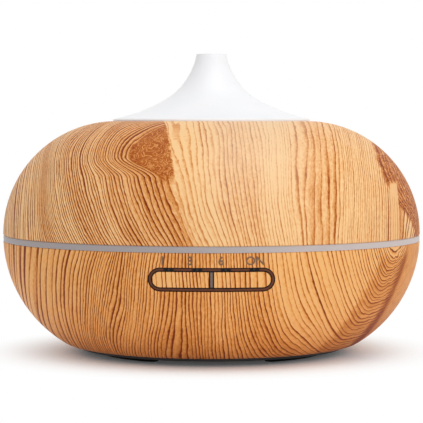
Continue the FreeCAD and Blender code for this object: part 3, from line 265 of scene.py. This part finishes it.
def dress(finish, *names):
    """Gives CAD nodes a finish by their material slots, leaving their meshes alone."""
    for name in names:
        data = nodes[name].data
        if not data.materials:
            data.materials.append(finish.material)
        for slot in range(len(data.materials)):
            data.materials[slot] = finish.material
    print("dressed", *names, "in", finish.material.name)


# %% [markdown]
# ## Wood grain on a turned shell
# The real shell is moulded plastic with a printed wood film. The print shows what a bowl turned from
# one block would show: the block's growth rings are nearly flat sheets, and each sheet cuts the round
# surface in a line. Seen from the front the sheets stand on edge, so the lines run from top to
# bottom, and at the sides the same sheets come out as nested arches. That is why the pattern is not
# wrapped round the body by its angle. It is laid on a chart of two lengths in millimetres: `across`
# is the way round that a sheet at a given X has at the widest place, and `height` is the way up.


# %% The film's chart
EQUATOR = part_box("top_shell")[0].z * PER_METRE
BODY_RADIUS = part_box("top_shell")[1].x * PER_METRE
TURN_RADIUS = 36.0  # the height is an angle about a circle of this radius at the equator
TURN_ARC = 48.0  # and this radius makes a length of it


def film_chart(wood):
    """The way across the sheets and the way up, in millimetres, and how far back a place is."""
    x, y, z = wood.axes()
    across = (x / BODY_RADIUS).clamp_sign().maths("ARCSINE") * BODY_RADIUS
    height = (z - EQUATOR).maths("ARCTAN2", length(x, y) - TURN_RADIUS) * TURN_ARC
    return across, height, y


def front_half(back):
    """1 on the front half and 0 on the back half, with a soft step between them."""
    return back.ease(12.0, -12.0)


print("chart: equator at", round(EQUATOR, 2), "mm, radius", round(BODY_RADIUS, 2), "mm")

# %% [markdown]
# ## The grain itself
# Growth rings are level lines of one field: where the field passes a whole number, a ring ends. A
# ring is pale where it starts and gets darker towards its sharp end. So the grain is made in three
# steps: `across` is bent by slow noise, by the lean of the lines and by the knots; a curve turns it
# into a count of rings, wide in one place and narrow in another; and the fraction of that count is
# the place inside a ring. Each ring draws its own strength from its whole number, and a few slow
# noises let a line fade and come back along its way, as print and real grain both do.


# %% Tones of the wood
SPAN = (-260.0, 260.0)  # where the curves along the way across begin and end
WOOD_RELIEF = -0.00003  # metres; less than nothing, as the dark lines are a little sunk
# the pale colour of a painted sheen, the overhead lamp's soft highlight on the crown
PAINTED_SHEEN_COLOUR = linear(242, 212, 178)
# The pale end of this palette is paler and greyer than the lower film's: partly the film's own tone,
# partly a painted sheen of the overhead lamp on the crown.
UPPER_TONES = [
    (0.0, linear(250, 206, 148)),
    (0.15, linear(245, 190, 130)),
    (0.35, linear(232, 164, 97)),
    (0.5, linear(212, 138, 69)),
    (0.65, linear(191, 108, 38)),
    (0.8, linear(166, 78, 10)),
    (0.9, linear(148, 60, 3)),
    (1.0, linear(122, 44, 2)),
]
LOWER_TONES = [
    (0.0, linear(249, 190, 120)),
    (0.15, linear(245, 178, 106)),
    (0.35, linear(232, 157, 82)),
    (0.5, linear(212, 135, 62)),
    (0.65, linear(189, 108, 36)),
    (0.8, linear(164, 77, 10)),
    (0.9, linear(146, 59, 3)),
    (1.0, linear(120, 42, 2)),
]


def rings(wood, count, across, height):
    """How dark a place is by its ring alone, from 0 to about 1."""
    part = count.maths("FRACT")
    number = count.maths("FLOOR")
    own = wood.node("ShaderNodeTexWhiteNoise", {"noise_dimensions": "1D"}, W=number)
    late = part.ease(0.25, 0.9) * 0.4 + part.ease(0.62, 0.88) * 0.6
    late = late * (1.0 - part.ease(0.92, 1.0))
    fade = wood.noise(wood.vector(across / 3.0, height / 22.0, 11.0), detail=1.0).ease(0.3, 0.62)
    return late * (own * 0.42 + 0.36 + fade * 0.32)


def fibres(wood, across, height):
    """Fine fibres that run along the grain, and short pores."""
    fine = wood.noise(wood.vector(across * 1.3, height * 0.12, 0.0), detail=3.0, roughness=0.65)
    pores = wood.noise(wood.vector(across * 1.4, height * 0.6, 3.0), detail=2.0, roughness=0.7)
    return fine - 0.5, pores - 0.5


def make_wood(name, colours, density, tones, contrasts, shape):
    """One film. Its density, tones and contrasts are curves along the way across. Its shape bends the
    lines, and says where the wood is darker, in which tone, and where a painted sheen lightens it."""
    wood = Finish(name, specular_ior_level=0.18, coat_weight=0.03, coat_roughness=0.30)
    across, height, back = film_chart(wood)
    slow = wood.noise(wood.vector(across / 24.0, height / 60.0, back / 150.0), detail=1.0) - 0.5
    quick = wood.noise(wood.vector(across / 4.0, height / 14.0, 2.0), detail=2.0) - 0.5
    tiny = wood.noise(wood.vector(across / 0.9, height / 2.4, 4.0), detail=1.0) - 0.5
    wander = slow * 5.0 + quick * 1.3 + tiny * 0.3
    bent, dark, dark_tone, painted_sheen = shape(wood, across, height, back, wander)
    count = wood.curve(bent, density, SPAN)
    uneven = wood.noise(wood.vector(bent / 2.6, height / 90.0, 8.0), detail=1.0) - 0.5
    late = rings(wood, count + uneven * 1.3, bent, height)
    fine, pores = fibres(wood, bent, height)
    broad = wood.curve(bent, tones, SPAN)
    patch = wood.noise(wood.vector(bent / 6.0, height / 45.0, back / 90.0), detail=2.0) - 0.5
    contrast = wood.curve(bent, contrasts, SPAN)
    tone = broad + patch * 0.30 + (late - 0.3) * contrast + fine * 0.72 + pores * 0.78
    # on the lower film the darker places include a painted shade towards the bottom
    tone = tone + (dark_tone - tone) * dark
    # the painted sheen mixes the colour towards its pale tone
    colour = wood.mix(painted_sheen, wood.ramp(tone.clamp(), colours), PAINTED_SHEEN_COLOUR)
    wood.set(base_color=colour, roughness=0.48 + tone.clamp() * 0.12)
    return wood.bump(tone.clamp(), WOOD_RELIEF, strength=0.6)


# %% [markdown]
# ## The upper film
# Left of the middle the upper film has a dark three-cornered knot. The sheets were pushed aside where
# the branch grew: the lines come up from below, jog to the left under the knot, pass round its point
# and lean back over it. In the field that jog is a smooth step in `height`, which is full at the knot
# and dies away to its left, and which ends at once on the knot's right side. Inside the knot the wood
# is red-brown and curly. At the right edge there is a second patch, dark and streaked. Beside it
# stands a pale tongue with a dark outline, and there the lines splay towards the edge as they rise.


# %% Shape of the upper film
upper_leans = [
    (-260, 0.0), (-95, 0.0), (-72, 0.5), (-58, 0.75), (-22, 0.72), (-12, 0.56), (0, 0.40),
    (12, 0.28), (30, 0.16), (42, -0.03), (60, -0.08), (90, 0.0), (260, 0.0),
]
upper_bound = [(-5, 110), (5, 101), (10, 93), (20, 80), (30, 74.5), (45, 72)]


def upper_shape(wood, across, height, back, wander):
    """The upper film's bent way across, its darker places, their tone, and its painted sheen."""
    front = front_half(back)
    lean = wood.curve(across, upper_leans, SPAN)
    sweep = 24.0 - (height / -24.0).maths("EXPONENT") * 24.0
    above = height - 40.0
    over = (above * above + 60.0).maths("SQRT") + above
    ragged = wood.noise(wood.vector(across / 3.5, height / 3.5, 5.0), detail=3.0) - 0.5
    side = -13.7 - (height - 28.7) * 0.119
    left = across.maths("LESS_THAN", side)
    fold = across.ease(-105.0, -40.0) * left * 0.42
    jog = height.ease(26.0, 36.0) * across.ease(-57.0, -33.0) * left * 11.0
    splay = (across - 86.0).maths("MAXIMUM", 0.0) * height * 0.04
    bent = across + wander + (lean * sweep - fold * over + jog - splay) * front
    # the knot fills the innermost line, up to its straight right side
    knot = (bent + ragged * 3.0).ease(-9.0, -7.4) * (side - across + ragged * 1.2).ease(-0.4, 0.8)
    knot = knot * (height + ragged * 4.0).ease(22.0, 28.0) * (height + ragged * 6.0).ease(64.0, 57.0)
    curl = wood.noise(wood.vector(across / 4.2, height / 4.8, 9.0), detail=2.0, distortion=1.4)
    curl = (curl * 6.0).maths("FRACT").ease(0.4, 0.9)
    fleck = wood.noise(wood.vector(across / 0.5, height / 0.5, 6.0), detail=2.0)
    # the patch on the right, and the pale tongue beside it
    bound = wood.curve(height, upper_bound, (-5.0, 45.0))
    beyond = across - bound
    patch = (beyond + ragged * 5.0).ease(-1.5, 1.5) * (height + ragged * 6.0).ease(46.0, 41.0)
    patch = patch * (across + ragged * 12.0).ease(119.0, 115.5)
    tongue = across.ease(79.4, 80.8) * across.ease(87.2, 85.8) * height.ease(23.5, 21.5)
    outline = across.ease(77.5, 80.0) * across.ease(92.0, 88.5) * height.ease(28.0, 25.0)
    inner = across.ease(78.0, 80.0) * across.ease(87.6, 86.2) * height.ease(24.0, 22.0)
    outline = outline * (1.0 - inner)
    outline = outline * (across.ease(80.0, 86.0) + height.ease(18.0, 24.0)).clamp()
    dark = (knot + patch + outline * 0.6).clamp() * front
    rim = (beyond + ragged * 4.0).maths("ABSOLUTE").ease(3.0, 0.5)
    stripe = (beyond / 2.6 + ragged * 1.6).maths("FRACT").ease(0.2, 0.9) - 0.5
    shade = 0.70 - knot * 0.02 - (curl - 0.4) * 0.3 + (fleck - 0.5) * 0.5 + ragged * 0.4
    shade = shade + rim * 0.14 + stripe * patch * 0.34
    dark_tone = shade + (0.12 - shade) * tongue
    # painted sheen: the crown's upper middle is mixed towards a pale colour, for the overhead lamp's
    # highlight
    painted_sheen = across.ease(-10.0, 8.0) * across.ease(50.0, 20.0) * height.ease(-4.0, 45.0) * 0.42
    return bent, (dark + tongue * front * 0.7).clamp() * 0.94, dark_tone, painted_sheen * front


upper_density = [
    (-260, -150), (-132, -78), (-100, -65), (-72, -51), (-66, -46), (-36, -21), (-17, -9), (0, 0),
    (28, 20), (34, 25.5), (50, 32), (58, 39.5), (75, 53), (90, 61), (110, 68), (132, 76),
    (260, 150),
]
upper_tones = [
    (-260, 0.54), (-90, 0.54), (-78, 0.52), (-68, 0.72), (-57, 0.50), (-44, 0.68), (-34, 0.54),
    (-28, 0.68), (-20, 0.62), (-13, 0.68), (-8, 0.62), (-4, 0.24), (0, 0.14), (8, 0.24), (18, 0.32),
    (26, 0.12), (34, 0.20), (44, 0.34), (52, 0.24), (64, 0.26), (74, 0.34), (90, 0.42), (260, 0.48),
]
upper_contrasts = [
    (-260, 1.2), (-100, 1.6), (-60, 1.7), (-30, 1.35), (-12, 1.2), (-4, 0.7), (8, 0.72), (24, 0.66),
    (34, 0.66), (50, 0.75), (78, 0.9), (90, 1.5), (260, 1.1),
]
wood_upper = make_wood(
    "wood_upper", UPPER_TONES, upper_density, upper_tones, upper_contrasts, upper_shape
)
dress(wood_upper, "top_shell")

# %% [markdown]
# ## The lower film
# The lower shell is covered with another piece of film. Towards the left its lines lie further apart
# and bow outwards, in the middle they stand straight, and on the right they belong to one set of
# nested ovals about a centre near the edge. Where the ovals turn under, a fold runs down through
# them, and each line turns up again beyond it in a short hook. The hooks end at a dark crease, and
# beyond it the wood is plain.


# %% Shape of the lower film
OVALS_ACROSS, OVALS_HEIGHT = 94.0, 18.0  # the middle of the nested ovals on the chart
FOLD_ACROSS = 81.0  # where the fold starts, above the belly
lower_bows = [
    (-260, 0.0), (-110, -0.1), (-74, -0.3), (-45, -0.42), (-33, -0.22), (-20, -0.2), (0, 0.0),
    (260, 0.0),
]


def lower_shape(wood, across, height, back, wander):
    """The same for the lower film: no painted sheen, and a painted shade towards the bottom."""
    front = front_half(back)
    bow = wood.curve(across, lower_bows, SPAN) * (height * (1.0 + height / 50.0))
    away, rise = across - OVALS_ACROSS, height - OVALS_HEIGHT
    oval = OVALS_ACROSS - (away * away + rise * rise * 0.5).maths("SQRT")
    fold = FOLD_ACROSS + (height + 7.0).maths("MINIMUM", 0.0) * 0.73
    off = across - fold
    ragged = wood.noise(wood.vector(across / 4.0, height / 4.0, 5.0), detail=2.0) - 0.5
    turn = off + ragged * 3.5
    hook = ((turn * turn + 5.0).maths("SQRT") + turn) * 0.42
    flare = across.ease(-62.0, -42.0) * across.ease(-6.0, -20.0) * height.ease(-18.0, -56.0) * 6.0
    bent = across + wander * 0.8
    bent = bent + (bow + flare + across.ease(-5.0, 42.0) * (oval - hook - across)) * front
    # the plain wood, the crease before it and the shadow over the hooks
    plain = (off + ragged * 2.0).ease(11.0, 14.0) * (across + ragged * 8.0).ease(117.0, 106.0)
    plain = plain * front
    crease = (off + ragged * 2.0).ease(7.0, 11.0) * (off + ragged * 4.0).ease(16.0, 12.0)
    shadow = (off + ragged * 6.0).ease(-12.0, -6.0) * (1.0 - plain) + crease * 0.5
    shadow = shadow * height.ease(0.0, -9.0) * front
    # painted shade: the film is made darker towards the bottom of the belly, where less light falls
    low = height.ease(-16.0, -54.0) * 0.34
    # the tone of the darker places takes in the painted shade at the bottom
    edge_tone = 0.44 + ragged * 0.35 + shadow * 0.46 + low * 0.9
    return bent, (plain * 0.8 + shadow * 0.42).maths("MAXIMUM", low), edge_tone, 0.0


lower_density = [
    (-260, -150), (-132, -66), (-120, -62), (-90, -53.5), (-60, -46), (-50, -41.5), (-42, -36),
    (-34, -28), (0, 0), (18, 16.5), (50, 34), (58, 39), (70, 48.5), (96, 71), (132, 99), (260, 194),
]
lower_tones = [
    (-260, 0.52), (-80, 0.50), (-60, 0.50), (-44, 0.56), (-34, 0.60), (-22, 0.56), (-12, 0.66),
    (-2, 0.60), (6, 0.52), (14, 0.56), (20, 0.42), (30, 0.24), (50, 0.26), (66, 0.36), (80, 0.44),
    (95, 0.46), (260, 0.50),
]
lower_contrasts = [
    (-260, 1.1), (-90, 1.3), (-40, 1.25), (-20, 1.35), (10, 1.2), (22, 1.0), (60, 1.2), (72, 1.8),
    (260, 1.1),
]
wood_lower = make_wood(
    "wood_lower", LOWER_TONES, lower_density, lower_tones, lower_contrasts, lower_shape
)
dress(wood_lower, "lower_shell")

# %% [markdown]
# ## The buttons
# The buttons are covered with the same film as the shell round them, but each piece was cut apart, so
# its lines don't meet the shell's. Theirs stand straight, a little further apart.


# %% Button film
def plain_shape(wood, across, height, back, wander):
    """The same for a film of straight lines, which lean a little."""
    return across + wander * 0.6 + height * 0.06, 0.0, 0.5, 0.0


button_density = [(-260, -180), (-22, -15), (-14, -10.5), (0, 0), (14, 8), (22, 11), (260, 170)]
button_tones = [
    (-260, 0.4), (-22, 0.26), (-14, 0.36), (-6, 0.52), (-2, 0.40), (2, 0.36), (9, 0.50), (14, 0.36),
    (18, 0.30), (22, 0.22), (260, 0.4),
]
wood_button = make_wood(
    "wood_button", LOWER_TONES, button_density, button_tones, lower_contrasts, plain_shape
)
dress(wood_button, "mist_button", "light_button")

# %% [markdown]
# ## White mouldings
# The spout, the liner, the mist guide, the tank and the wire sockets are moulded in white plastic. It
# is never a dead white: its tone drifts slowly, and the mould leaves a fine, nearly even grain, which
# is a low bump here. The spout is the clearest of them and lets a little light in, so it also gets
# subsurface scattering.


# %% White plastics
def make_moulded(name, light, dark, roughness, grain=0.00001, size=1.6, **sockets):
    """A moulded plastic with a slow change of tone and a fine grain, in colours of 0 to 255."""
    plastic = Finish(name, **sockets)
    x, y, z = plastic.axes()
    where = plastic.vector(x, y, z)
    slow = plastic.noise(where, scale=0.05, detail=2.0)
    fine = plastic.noise(where, scale=size, detail=2.0)
    plastic.set(base_color=plastic.mix(slow.ease(0.3, 0.7), linear(*light), linear(*dark)))
    plastic.set(roughness=roughness + (fine - 0.5) * 0.08)
    return plastic.bump(fine, grain)


spout_white = make_moulded(
    "spout_white",
    (250, 250, 252),
    (246, 247, 250),
    0.38,
    subsurface_weight=0.12,
    subsurface_radius=(0.004, 0.004, 0.004),
)
white_plastic = make_moulded("white_plastic", (240, 240, 238), (233, 233, 231), 0.45)
dress(spout_white, "mist_spout")
dress(white_plastic, "cover_liner", "mist_guide", "water_tank", "wire_sockets")

# %% [markdown]
# ## The light ring
# The ring at the seam is frosted acrylic over a circle of lamps that are off. It looks grey, because
# light goes in and little comes out. Towards the key lamp's side its colour is a shade lighter, which
# is painted light. A small raised mark at the front shows where the cover goes on.


# %% Frosted ring
frosted = Finish("frosted_ring", subsurface_weight=0.2, subsurface_radius=(0.002, 0.002, 0.002))
x, y, z = frosted.axes()
cloud = frosted.noise(frosted.vector(x / 9.0, y / 9.0, z / 3.0), detail=2.0)
# painted light: the ring's colour turns lighter towards +X, the side of the key lamp
side = (x + (cloud - 0.5) * 30.0).ease(-30.0, 75.0)
frosted.set(base_color=frosted.mix(side, linear(168, 160, 160), linear(206, 194, 190)))
speck = frosted.noise(frosted.vector(x, y, z), scale=2.2, detail=2.0)
frosted.set(roughness=0.46 + (speck - 0.5) * 0.2)
frosted.bump(speck, 0.00002)
dress(frosted, "light_ring")

# %% [markdown]
# ## Smoked, black and rubber pieces
# The bezel round the buttons is smoked plastic, nearly black with a brown cast. Its face has a
# painted highlight, a lighter band between dark edges that stands for the light a rounded face would
# catch, so its colour follows the distance from the slot's middle line, which is the same all the way
# round. The painted highlight stops over each of the four indicator lamps, and the bar between the
# buttons is paler. The base plate and the jack are matt black with a fine spark-eroded grain, and the
# feet are softer and duller.


# %% Dark mouldings
SLOT_LENGTH, SLOT_HEIGHT, SLOT_LEVEL = 46.4, 8.8, EQUATOR - 12.3  # millimetres, like all of these
BEZEL_WALL = 1.35
LAMP_PLACES = (-15.6, -5.2, 5.2, 15.6)  # along X
# of these three colours the second is a painted highlight, laid along the middle of the face
SMOKED_EDGE, SMOKED_HIGHLIGHT, SMOKED_BAR = linear(14, 4, 2), linear(106, 58, 36), linear(126, 108, 100)


def make_smoked():
    """The bezel's plastic, with its painted highlight, its bar and the dark places over the lamps."""
    smoked = Finish("smoked_plastic", specular_ior_level=0.2)
    x, y, z = smoked.axes()
    past = (x.maths("ABSOLUTE") - (SLOT_LENGTH - SLOT_HEIGHT) / 2.0).maths("MAXIMUM", 0.0)
    reach = length(past, z - SLOT_LEVEL)
    # painted highlight: 1 along the middle of the face, 0 at its edges
    highlight_band = (reach - (SLOT_HEIGHT - BEZEL_WALL) / 2.0).maths("ABSOLUTE").ease(0.55, 0.2)
    bar = x.maths("ABSOLUTE").ease(0.7, 0.2) * reach.ease(3.0, 2.6)
    grain = smoked.noise(smoked.vector(x / 1.4, y / 1.4, z / 1.4), detail=3.0)
    # the painted highlight is left out over each indicator lamp
    for place in LAMP_PLACES:
        highlight_band = highlight_band * (x - place).maths("ABSOLUTE").maths("MAXIMUM", SLOT_LEVEL - z).ease(1.4, 2.4)
    with_highlight = smoked.mix((highlight_band * (0.4 + grain)).clamp(), SMOKED_EDGE, SMOKED_HIGHLIGHT)
    smoked.set(base_color=smoked.mix(bar, with_highlight, SMOKED_BAR), roughness=0.3 + grain * 0.15)
    return smoked.bump(grain, 0.000004)


smoked = make_smoked()
black_plastic = make_moulded(
    "black_plastic", (30, 30, 31), (24, 24, 25), 0.5, grain=0.00003, size=2.4
)
black_rubber = make_moulded(
    "black_rubber", (15, 14, 14), (11, 10, 10), 0.75, grain=0.00004, size=1.2, specular_ior_level=0.2
)
fan_black = make_moulded("fan_black", (36, 36, 38), (30, 30, 32), 0.42, grain=0.00002, size=2.0)
silicone = make_moulded("silicone", (206, 204, 198), (192, 190, 186), 0.55, subsurface_weight=0.1)
foam = make_moulded("foam", (52, 52, 54), (40, 40, 42), 0.95, grain=0.0003, size=1.1)
dress(smoked, "button_bezel")
dress(black_plastic, "base_plate", "power_jack", "mist_switch", "light_switch")
dress(black_rubber, "foot_front_left", "foot_front_right", "foot_rear_left", "foot_rear_right")
dress(fan_black, "fan_frame", "fan_rotor")
dress(silicone, "tank_seal", "transducer_seal")
dress(foam, "fan_seal")

# %% [markdown]
# ## Inside: boards, metal and lamps
# With the cover off the tank shows, and from below a few screws do. The rest is seen only when
# the part is taken apart, but every piece still gets the finish that it has: solder mask with a
# faint weave of glass cloth, brushed and cast metals, enamelled copper wire, and clear lamps.


# %% Inner finishes
def make_metal(name, light, dark, roughness, across=0.4, along=6.0):
    """A metal with fine lines that run along its pieces."""
    metal = Finish(name, metallic=1.0)
    x, y, z = metal.axes()
    lines = metal.noise(metal.vector(x / across, y / across, z / along), detail=3.0)
    metal.set(base_color=metal.mix(lines.ease(0.3, 0.7), linear(*light), linear(*dark)))
    metal.set(roughness=roughness + (lines - 0.5) * 0.2)
    return metal.bump(lines, 0.00001)


steel = make_metal("steel", (198, 198, 200), (164, 164, 168), 0.3)
aluminium = make_metal("aluminium", (206, 208, 212), (178, 180, 186), 0.38)
piezo = make_metal("piezo_metal", (214, 208, 196), (188, 182, 170), 0.28, along=0.6)
copper = make_metal("copper_winding", (196, 112, 58), (150, 78, 36), 0.34, across=6.0, along=0.12)
dress(steel, "guide_screws", "clamp_screws", "base_screws", "switch_screws", "driver_screws")
dress(steel, "level_probe")
dress(aluminium, "heat_sink", "transducer_clamp")
dress(piezo, "transducer_disc")
dress(copper, "fan_stator", "choke_coil")

board = Finish("circuit_board", roughness=0.35)
x, y, z = board.axes()
weave = (x * 5.2).maths("SINE") * (y * 5.2).maths("SINE") * 0.5 + 0.5
tracks = board.noise(board.vector(x / 2.4, y / 2.4, z / 2.4), detail=0.0).ease(0.47, 0.5)
board.set(base_color=board.mix(tracks * 0.6 + weave * 0.15, linear(24, 92, 60), linear(52, 128, 84)))
board.bump(weave, 0.00001)
dress(board, "led_board", "switch_board", "driver_board")

lamp = make_moulded("lamp_plastic", (246, 242, 218), (236, 230, 196), 0.25, size=3.0)
# the pipes are clear; their near-black colour paints the shade inside the body, seen through them
clear = make_moulded("clear_plastic", (26, 16, 12), (18, 10, 8), 0.12, size=3.0)
can = make_moulded("can_sleeve", (36, 40, 58), (28, 30, 46), 0.35, size=2.0)
dress(lamp, "led_lamps", "mist_plunger", "light_plunger")
dress(clear, "indicator_pipes")
dress(can, "capacitors", "driver_chip")

# %% [markdown]
# ## The print over the buttons
# The shell carries four small marks over the buttons: three numbers for the hours of the timer and
# the word ON. Text is a curve; it is made a mesh before it is placed, so that its object stays at the
# origin. Its points are then laid on the shell: each keeps its place across and its height, and its
# depth comes from the radius of the belly at that height.


# %% Printed marks
BELLY_ARC = 50.6  # the belly's outline is an arc of this radius,
BELLY_AXIS = 84.0 - BELLY_ARC  # and the arc's middle is this far from the axis, at the equator
PRINT_HEIGHT = 42.4  # of the middle of the marks
PRINT_SIZE = 4.4
PRINT_BOLD = 0.09  # how far the outline of a letter is moved outwards
PRINT_LIFT = 0.02  # over the shell
ink = make_moulded("print_ink", (128, 92, 62), (116, 82, 54), 0.5, grain=0.00002, size=3.0)


def belly_radius(height):
    """How far the shell's surface is from the axis at a height below the equator."""
    down = EQUATOR - height
    return BELLY_AXIS + math.sqrt(BELLY_ARC * BELLY_ARC - down * down)


def print_mark(name, words, middle):
    """A word printed on the front of the lower shell; sizes in millimetres."""
    curve = bpy.data.curves.new(name, "FONT")
    curve.body = words
    curve.size = PRINT_SIZE
    curve.offset = PRINT_BOLD
    curve.align_x = "CENTER"
    curve.resolution_u = 6
    text = bpy.data.objects.new(name, curve)
    scene.collection.objects.link(text)
    bpy.context.view_layer.update()
    mesh = bpy.data.meshes.new_from_object(text)
    bpy.data.objects.remove(text)
    shape = bmesh.new()
    shape.from_mesh(mesh)
    bmesh.ops.subdivide_edges(shape, edges=shape.edges[:], cuts=1, use_grid_fill=True)
    top = max(v.co.y for v in shape.verts)
    for vert in shape.verts:
        across, height = middle + vert.co.x, PRINT_HEIGHT + vert.co.y - top / 2
        reach = belly_radius(height) + PRINT_LIFT
        vert.co = Vector((across, -math.sqrt(reach * reach - across * across), height)) * MM
    bmesh.ops.recalc_face_normals(shape, faces=shape.faces[:])
    shape.to_mesh(mesh)
    shape.free()
    mark = bpy.data.objects.new(name, mesh)
    scene.collection.objects.link(mark)
    mesh.materials.clear()
    mesh.materials.append(ink.material)
    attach(mark, "base")
    print("printed", words, "at", middle)


print_mark("print_hour_1", "1", -17.9)
print_mark("print_hour_3", "3", -7.8)
print_mark("print_hour_6", "6", 3.5)
print_mark("print_on", "ON", 15.9)

# %% [markdown]
# ## Floor and light
# The diffuser stands on a plain white floor in white surroundings, with a soft shadow under it. The
# floor is one flat sheet. The surroundings light the object a little below full strength, so that
# pale plastic doesn't burn out, yet they have to look white: the Light Path node tells rays that come
# from the camera, a mirror or clear plastic from the rays that carry light, and only the first kind
# sees the full white. Round the object the floor takes only a small share of the same white, and so
# keeps its shadow. Further out its share grows, until it is as white as the surroundings.


# %% Floor
SHADOW_NEAR, SHADOW_FAR = 0.046, 0.098  # metres from the axis, where the white starts and is full
SHADOW_WHITE = 0.05  # its share before that


def seen(tree):
    """1 for the rays that show a surface, 0 for those that only carry light."""
    path = tree.nodes.new("ShaderNodeLightPath")
    straight, shiny, through = (
        Sum(tree, path.outputs[name])
        for name in ("Is Camera Ray", "Is Glossy Ray", "Is Transmission Ray")
    )
    return straight.maths("MAXIMUM", shiny).maths("MAXIMUM", through)


def make_floor():
    """A flat sheet on the ground, much wider than the object."""
    sheet = bmesh.new()
    bmesh.ops.create_grid(sheet, x_segments=2, y_segments=2, size=2.0)
    mesh = bpy.data.meshes.new("floor")
    sheet.to_mesh(mesh)
    sheet.free()
    floor = bpy.data.objects.new("floor", mesh)
    scene.collection.objects.link(floor)
    return floor


floor = make_floor()
paper = Finish("paper", base_color=(1.0, 1.0, 1.0, 1.0), roughness=0.95, specular_ior_level=0.0)
x, y, z = paper.axes()
away = length(x, y) / PER_METRE
share = away.ease(SHADOW_NEAR, SHADOW_FAR) * (1.0 - SHADOW_WHITE) + SHADOW_WHITE
glow = paper.node("ShaderNodeEmission", Color=(1.0, 1.0, 1.0, 1.0), Strength=1.0, out="Emission")
blend = paper.node(
    "ShaderNodeMixShader",
    Fac=seen(paper.tree) * share,
    _1=Sum(paper.tree, paper.shader.outputs[0]),
    _2=glow,
)
paper.tree.links.new(blend.socket, paper.tree.nodes["Material Output"].inputs["Surface"])
floor.data.materials.append(paper.material)
print("floor", [round(c, 2) for c in floor.dimensions])

# %% [markdown]
# ## The studio
# The world is an even white. A large soft box overhead gives the round body a gentle fall from its
# crown to its belly, and a weaker one, in front and to the right, gives it a lighter side.


# %% Studio
WORLD_LIGHT = 0.55  # the strength of the surroundings for the rays that carry light
LAMP_TARGET = (0.0, 0.0, 0.05)
world = bpy.data.worlds.new("studio")
scene.world = world
world.use_nodes = True
sky = world.node_tree
backdrop = sky.nodes["Background"]
backdrop.inputs["Color"].default_value = (1.0, 1.0, 1.0, 1.0)
put(sky, backdrop.inputs["Strength"], seen(sky) * (1.0 - WORLD_LIGHT) + WORLD_LIGHT)


def add_lamp(name, place, size, power):
    """A square soft box that faces the object's middle."""
    data = bpy.data.lights.new(name, "AREA")
    data.size = size
    data.energy = power
    box = bpy.data.objects.new(name, data)
    scene.collection.objects.link(box)
    box.location = place
    box.rotation_euler = facing(place, LAMP_TARGET)
    print("lamp", name, power, "W")


add_lamp("top", (0.10, -0.25, 0.90), size=0.7, power=2.8)
add_lamp("key", (0.55, -0.85, 0.40), size=0.6, power=2.0)
